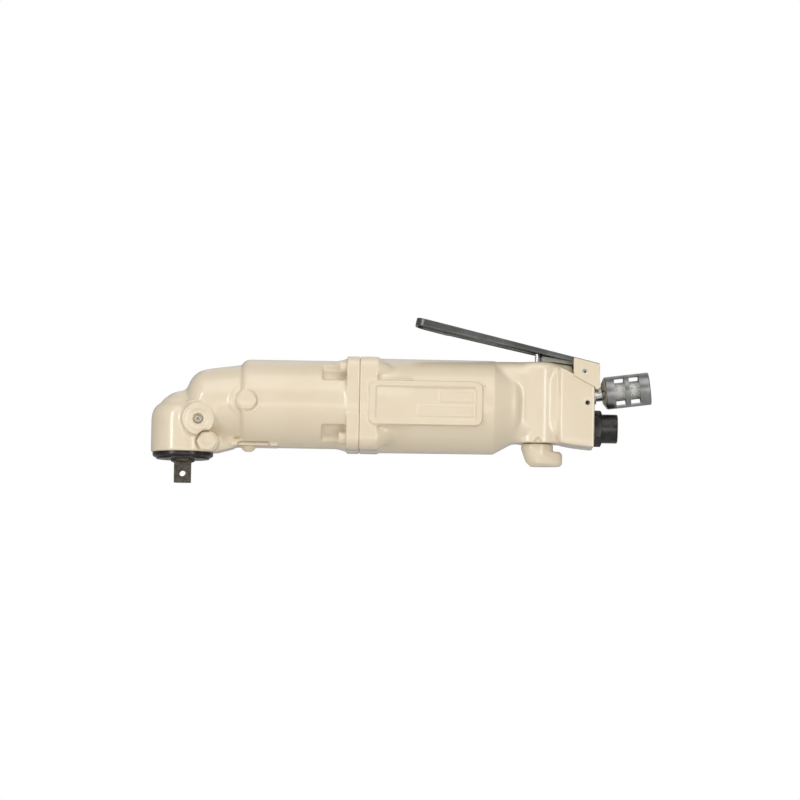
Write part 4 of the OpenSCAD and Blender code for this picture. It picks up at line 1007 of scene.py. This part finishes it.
    @classmethod
    def relax(cls, points: np.ndarray, edges: np.ndarray, rounds: int) -> np.ndarray:
        """Evens a skin out, edges and corners alike.

        Args:
            points: The skin's points.
            edges: Its edges.
            rounds: How many small moves each point makes.

        Returns:
            The moved points.
        """
        for _ in range(rounds):
            points = points + cls.RELAX_SHARE * cls.drift(points, edges)
        return points

    @classmethod
    def fillet(cls, points: np.ndarray, edges: np.ndarray, faces: np.ndarray,
               share: np.ndarray, zone: Zone) -> np.ndarray:
        """Moves points one way only, so inner corners fill or outer edges wear down.

        Args:
            points: The skin's points, in millimetres.
            edges: Its edges.
            faces: Its four-sided faces.
            share: Share of the motion that each point makes.
            zone: The zone, which gives the way and the number of small moves.

        Returns:
            The moved points.
        """
        chosen = np.flatnonzero(share > 0.0)
        place = np.full(len(points), -1)
        place[chosen] = np.arange(len(chosen))
        edges = place[edges]
        edges = edges[(edges >= 0).all(axis=1)]
        faces = place[faces]
        faces = faces[(faces >= 0).all(axis=1)]
        whole, points, share = points.copy(), points[chosen], share[chosen]
        for _ in range(zone.rounds):
            across = points[faces[:, 2]] - points[faces[:, 0]]
            over = points[faces[:, 3]] - points[faces[:, 1]]
            normal = np.cross(across, over)
            total = np.stack([
                sum(np.bincount(faces[:, c], normal[:, k], len(points)) for c in range(4))
                for k in range(3)], axis=1)
            total /= np.maximum(np.linalg.norm(total, axis=1), cls.LEAST_LENGTH)[:, None]
            move = (cls.drift(points, edges) * total).sum(axis=1)
            step = np.minimum(move, 0.0) if zone.outer else np.maximum(move, 0.0)
            points = points + total * (step * share * cls.FILLET_SHARE)[:, None]
        whole[chosen] = points
        return whole


Cast = Tuple[str, Finish, Casting]
Rounded = Tuple[str, Finish, float]
Dressed = Tuple[str, Finish]


def each(finish: Finish, *nodes: str) -> Tuple[Dressed, ...]:
    """Pairs nodes with the finish that they share."""
    return tuple((node, finish) for node in nodes)


@dataclass
class SubAssembly:
    """A group of nodes: cast ones, ones with rounds of a width in mm, and dressed ones."""

    castings: Tuple[Cast, ...] = ()
    rounded: Tuple[Rounded, ...] = ()
    dressed: Tuple[Dressed, ...] = ()

    def build(self) -> None:
        """Builds all of the group."""
        log.info("building %s", type(self).__name__)
        for node, finish, casting in self.castings:
            MeshShop.cast(node, finish, casting)
        for node, finish, width_mm in self.rounded:
            MeshShop.soften(node, finish, width_mm)
        for node, finish in self.dressed:
            MeshShop.dress_node(node, finish)


@dataclass
class FrontEnd(SubAssembly):
    """The angle head, the front case and what is screwed into them."""

    castings: Tuple[Cast, ...] = (("front_case", CREAM, Casting(
        0.45, 3,
        zones=(
            Zone((-20.0, -20.0, 38.0), (14.0, 20.0, 68.0), 40, outer=True),  # cap
            Zone((-17.0, -17.0, 42.0), (16.0, 17.0, 64.0), 90),  # foot of the nose
            Zone((3.0, -19.0, 30.0), (26.0, 19.0, 64.0), 70),  # head to waist
            Zone((12.0, -14.0, 17.5), (30.0, 14.0, 34.0), 60),  # under the waist
            Zone((-8.0, -22.0, 26.0), (30.0, -8.0, 60.0), 30),  # nipple and plug bosses
            Zone((78.0, -27.0, 18.0), (94.0, 27.0, 73.0), 10)),  # barrel to flange
        keeps=(
            Zone((6.0, -24.0, 14.0), (22.0, -13.0, 30.0), 0, fade=1.0),  # gear case plug
            Zone((0.0, -24.0, 26.0), (18.0, -20.2, 44.0), 0, fade=0.5),  # nipple
            Zone((27.5, -30.0, 36.5), (45.5, -20.0, 54.5), 0, fade=0.6),  # adjusting port
            Zone((31.0, -9.5, 18.0), (50.0, 9.5, 24.0), 0, fade=0.6)),  # cover plate
        extras=(
            Web(((8.0, 17.3), (19.5, 17.3), (29.0, 19.9), (29.0, 32.0), (8.0, 34.0)), -9.0, 9.0),
            Collar((36.5, AXIS_Z), 6.1, 9.4, 25.1, 21.9, 32.5, 5.0, 3.4)),
        cuts=(Web(((31.2, 10.0), (49.4, 10.0), (49.4, 23.5), (31.2, 23.5)), -16.0, -8.3),),
        ridges=(Ridge((9.0, 35.1), (6.6, 6.6), 6.6, 0.45, 1.3, 0.7, -20.0),),
        crown=Crown(
            ((0.0, 52.8), (3.0, 52.2), (7.4, 50.7), (11.1, 47.6), (14.8, 44.6), (17.2, 42.6),
             (19.0, 40.4), (30.0, 40.4)),
            ((1.2, 3.0), (2.0, 9.0), (3.2, 12.2), (4.8, 14.9), (7.4, 17.3), (10.0, 18.6),
             (13.5, 19.6)),
            AXIS_Z, 13.4))),)
    rounded: Tuple[Rounded, ...] = (
        ("head_ring_nut", BLACK, 0.3), ("grease_nipple", NIPPLE, 0.2),
        ("gear_case_plug", CREAM, 0.25), ("adjusting_port_plug", CREAM, 0.25),
        ("cover_plate", CREAM, 0.25), ("flange_screws", CREAM, 0.25),
        ("cover_screw", CREAM, 0.2), ("drive_spindle", DRIVE, 0.35))
    dressed: Tuple[Dressed, ...] = (
        each(RUBBER, "spindle_seal") + each(HEAD_RACE, "spindle_bearing")
        + each(BRASS, "spindle_top_bush")
        + each(GEAR_STEEL, "bevel_gear", "bevel_pinion", "gear_nut", "pinion_spacer", "main_shaft")
        + each(RACE_STEEL, "pinion_needle_bearing", "pinion_ball_bearing")
        + each(BLACK, "pinion_bearing_circlip"))


@dataclass
class PulseUnit(SubAssembly):
    """The oil pulse unit inside the front case."""

    dressed: Tuple[Dressed, ...] = (
        each(GEAR_STEEL, "pulse_blades", "pulse_drum", "drum_front_lid", "drum_rear_lid")
        + each(BLACK, "relief_screw"))


@dataclass
class AirMotor(SubAssembly):
    """The vane motor inside the motor housing."""

    dressed: Tuple[Dressed, ...] = (
        each(MOTOR_STEEL, "rotor", "cylinder_liner", "front_end_plate", "rear_end_plate",
             "motor_wave_washer")
        + each(RACE_STEEL, "front_rotor_bearing", "rear_rotor_bearing")
        + each(LAMINATE, "rotor_vanes"))


@dataclass
class RearEnd(SubAssembly):
    """The motor housing with its lever bracket."""

    castings: Tuple[Cast, ...] = (
        ("motor_housing", CREAM, Casting(
            0.5, 3,
            zones=(
                Zone((176.0, -24.0, 20.0), (194.0, 24.0, 72.0), 60),  # barrel to neck
                Zone((204.0, -20.0, 26.0), (222.0, 20.0, 71.0), 90),  # neck to block
                Zone((212.0, -18.0, 22.0), (236.0, 18.0, 72.0), 26, outer=True),  # block
                Zone((108.0, -28.0, 17.0), (128.0, 28.0, 74.0), 100)),  # flange's corners
            keeps=(Zone((193.0, -16.0, 20.0), (210.0, -8.0, 30.0), 0, fade=0.8),),  # over the knob
            ridges=(
                Ridge((137.9, 45.6), (34.0, 14.6), 5.6, -0.35, 2.0, 1.6),  # groove round the panel
                Ridge((137.9, 45.6), (28.4, 9.3), 1.6, -0.75, soft=0.7),  # sunk floor
                Ridge((155.0, 49.8), (9.9, 3.2), 0.6, 0.34, 0.8, 0.7),  # upper field
                Ridge((149.0, 41.4), (15.9, 3.2), 0.6, 0.34, 0.8, 0.7)))),  # lower field
        ("lever_bracket", CREAM, Casting(0.35, 5)))
    rounded: Tuple[Rounded, ...] = (("bracket_screws", BLACK, 0.15),)


@dataclass
class Throttle(SubAssembly):
    """The lever, its pin and stop, and the valve that the lever opens."""

    castings: Tuple[Cast, ...] = (("throttle_lever", LEVER, Casting(0.36, 2, cuts=(
        Web(((150.0, 87.4), (150.0, 60.0), (220.8, 60.0), (220.8, 72.1)), -14.0, 14.0),
        Web.round_bar((227.7, 65.9), 2.0, -14.0, 14.0)))),)
    rounded: Tuple[Rounded, ...] = (
        ("lever_pin", CHROME, 0.15), ("lever_stop", STOP, 0.5), ("stop_screw", BLACK, 0.15))
    dressed: Tuple[Dressed, ...] = (
        each(CHROME, "throttle_push_pin")
        + each(BRASS, "pin_guide_bush", "throttle_valve", "throttle_seat_bush")
        + each(MOTOR_STEEL, "throttle_spring", "spring_plate"))


@dataclass
class Reversing(SubAssembly):
    """The reversing valve and its knob."""

    castings: Tuple[Cast, ...] = (("reverse_knob", CREAM, Casting(
        0.36, 4,
        zones=(Zone((190.0, -12.0, 11.0), (198.0, 12.0, 19.5), 260, outer=True),),  # heel
        keeps=(Zone((198.0, -4.0, 11.0), (205.5, 4.0, 20.0), 0, fade=0.6),))),)  # thumb rest
    rounded: Tuple[Rounded, ...] = (("knob_screw", BLACK, 0.15),)
    dressed: Tuple[Dressed, ...] = each(BRASS, "reverse_valve") + each(BLACK, "valve_circlip")


@dataclass
class Silencer(SubAssembly):
    """The swivelling exhaust silencer."""

    rounded: Tuple[Rounded, ...] = (
        ("silencer_neck", NECK, 0.25), ("silencer_sleeve", SATIN, 0.3),
        ("silencer_end_cap", SATIN, 0.25), ("silencer_element", SINTER, 0.2),
        ("silencer_cross_pin", BLACK, 0.2))


@dataclass
class AirInlet(SubAssembly):
    """The inlet bushing with its taper thread and strainer."""

    rounded: Tuple[Rounded, ...] = (("inlet_bushing", BLACK, 0.3),)
    dressed: Tuple[Dressed, ...] = each(MOTOR_STEEL, "inlet_strainer")
    centre_z: float = 34.7
    mouth_x: float = 247.2
    first_turn: float = 0.9
    bore_r: float = 5.725
    root_sink: float = 0.1
    thread_len: float = 11.0
    pitch: float = 1.337
    depth: float = 0.55
    root_half: float = 0.46
    crest_half: float = 0.06
    steps: int = 48
    sharp_degrees: float = 30.0

    def thread(self) -> None:
        """Builds the thread's ridge as one band along a helix in the bore."""
        count = int(self.thread_len / self.pitch * self.steps)
        root = self.bore_r + self.root_sink
        work = bmesh.new()
        rows = []
        for i in range(count + 1):
            angle = math.tau * i / self.steps
            x = self.mouth_x - self.first_turn - self.pitch * i / self.steps
            crest = self.bore_r - self.depth * min(1.0, i / self.steps, (count - i) / self.steps)
            rows.append([
                work.verts.new(((x + offset * self.pitch) * MM, radius * math.cos(angle) * MM,
                                (self.centre_z + radius * math.sin(angle)) * MM))
                for offset, radius in ((-self.root_half, root), (-self.crest_half, crest),
                                       (self.crest_half, crest), (self.root_half, root))])
        for first, second in zip(rows, rows[1:]):
            bridge(work, first, second)
        work.faces.new(rows[0])
        work.faces.new(list(reversed(rows[-1])))
        bmesh.ops.recalc_face_normals(work, faces=work.faces)
        piece = add_mesh("inlet_thread_ridge", work)
        MeshShop.shade(piece.data, self.sharp_degrees)
        piece.data.materials.append(BLACK.material())
        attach(piece, "housing")
        log.info("%s is new, in %s", piece.name, BLACK.name)

    def build(self) -> None:
        """Builds the group and adds its thread."""
        super().build()
        self.thread()


@dataclass(frozen=True)
class Lamp:
    """A soft rectangular lamp, in metres and watts."""

    name: str
    place: Point
    power: float
    size: Flat
    colour: Colour = WHITE

    def hang(self, aim: Point) -> None:
        """Adds the lamp to the scene.

        Args:
            aim: The place that it shines at.
        """
        light = bpy.data.lights.new(self.name, "AREA")
        light.shape = "RECTANGLE"
        light.size, light.size_y = self.size
        light.energy = self.power
        light.color = self.colour
        piece = add_object(self.name, light)
        piece.location = self.place
        away = Vector(self.place) - Vector(aim)
        piece.rotation_euler = away.to_track_quat("Z", "Y").to_euler()


@dataclass
class Studio:
    """Pale floor, soft lamps and the camera at the photograph's angle, in metres."""

    aim: Point = (0.1231, 0.0, 0.0492)
    elevation: float = -4.5
    distance: float = 3.0
    view_width: float = 0.456
    sensor_mm: float = 36.0
    clip_start: float = 0.05
    roll: float = 1.0
    floor_z: float = -0.27
    floor_half: float = 3.0
    floor_colour: Colour = (0.82, 0.81, 0.79)
    floor_rough: float = 0.9
    floor_glow: float = 0.9
    sky: Colour = (0.98, 0.98, 1.0)
    sky_strength: float = 0.36
    lamps: Tuple[Lamp, ...] = (
        Lamp("top_box", (0.10, -0.55, 0.85), 3.6, (1.4, 0.8), (1.0, 0.99, 0.975)),
        Lamp("front_left_box", (-0.85, -1.00, 0.30), 4.6, (0.22, 1.0)),
        Lamp("front_right_box", (0.80, -1.00, 0.25), 3.0, (0.22, 1.0)),
        Lamp("low_box", (0.10, -1.00, -0.05), 1.6, (1.4, 0.25), (1.0, 0.97, 0.92)),
        Lamp("rear_box", (0.3, 0.9, 0.9), 1.2, (1.2, 1.0)))

    def camera(self) -> None:
        """Places the camera."""
        lens = bpy.data.cameras.new("camera")
        lens.sensor_width = self.sensor_mm
        lens.lens = self.sensor_mm * self.distance / self.view_width
        lens.clip_start = self.clip_start
        piece = add_object("camera", lens)
        piece.matrix_world = (
            Matrix.Translation(self.aim)
            @ Matrix.Rotation(math.radians(90.0 - self.elevation), 4, "X")
            @ Matrix.Rotation(math.radians(self.roll), 4, "Z")
            @ Matrix.Translation((0.0, 0.0, self.distance)))
        bpy.context.scene.camera = piece

    def floor(self) -> None:
        """Adds the floor, which is almost white to the camera."""
        graph = Graph("pale_floor")
        graph.surface(Base_Color=self.floor_colour, Roughness=self.floor_rough)
        glow = graph.node("ShaderNodeEmission", {}, {"Color": WHITE, "Strength": 1.0})
        graph.for_camera(glow, graph.body, self.floor_glow)
        half, z = self.floor_half, self.floor_z
        mesh = bpy.data.meshes.new("floor")
        mesh.from_pydata([(-half, -half, z), (half, -half, z), (half, half, z), (-half, half, z)],
                         [], [(0, 1, 2, 3)])
        mesh.materials.append(graph.material)
        add_object("floor", mesh)

    def backdrop(self) -> None:
        """Adds the world: white to the camera, and a soft fill light."""
        world = bpy.data.worlds.new("studio")
        bpy.context.scene.world = world
        tree = Tree(world, "ShaderNodeOutputWorld")
        soft = tree.node("ShaderNodeBackground", {},
                         {"Color": self.sky, "Strength": self.sky_strength})
        white = tree.node("ShaderNodeBackground", {}, {"Color": WHITE, "Strength": 1.0})
        tree.for_camera(white, soft)

    def build(self) -> None:
        """Sets the whole studio up."""
        bpy.context.scene.view_settings.view_transform = "Standard"
        self.camera()
        self.floor()
        self.backdrop()
        for lamp in self.lamps:
            lamp.hang(self.aim)
        log.info("studio: camera, floor and %d lamps", len(self.lamps))


def main() -> None:
    """Builds the tool and its studio, piece by piece."""
    Studio().build()
    for group in (FrontEnd(), PulseUnit(), AirMotor(), RearEnd(), Throttle(), Reversing(),
                  Silencer(), AirInlet()):
        group.build()


if __name__ == "__main__":
    main()
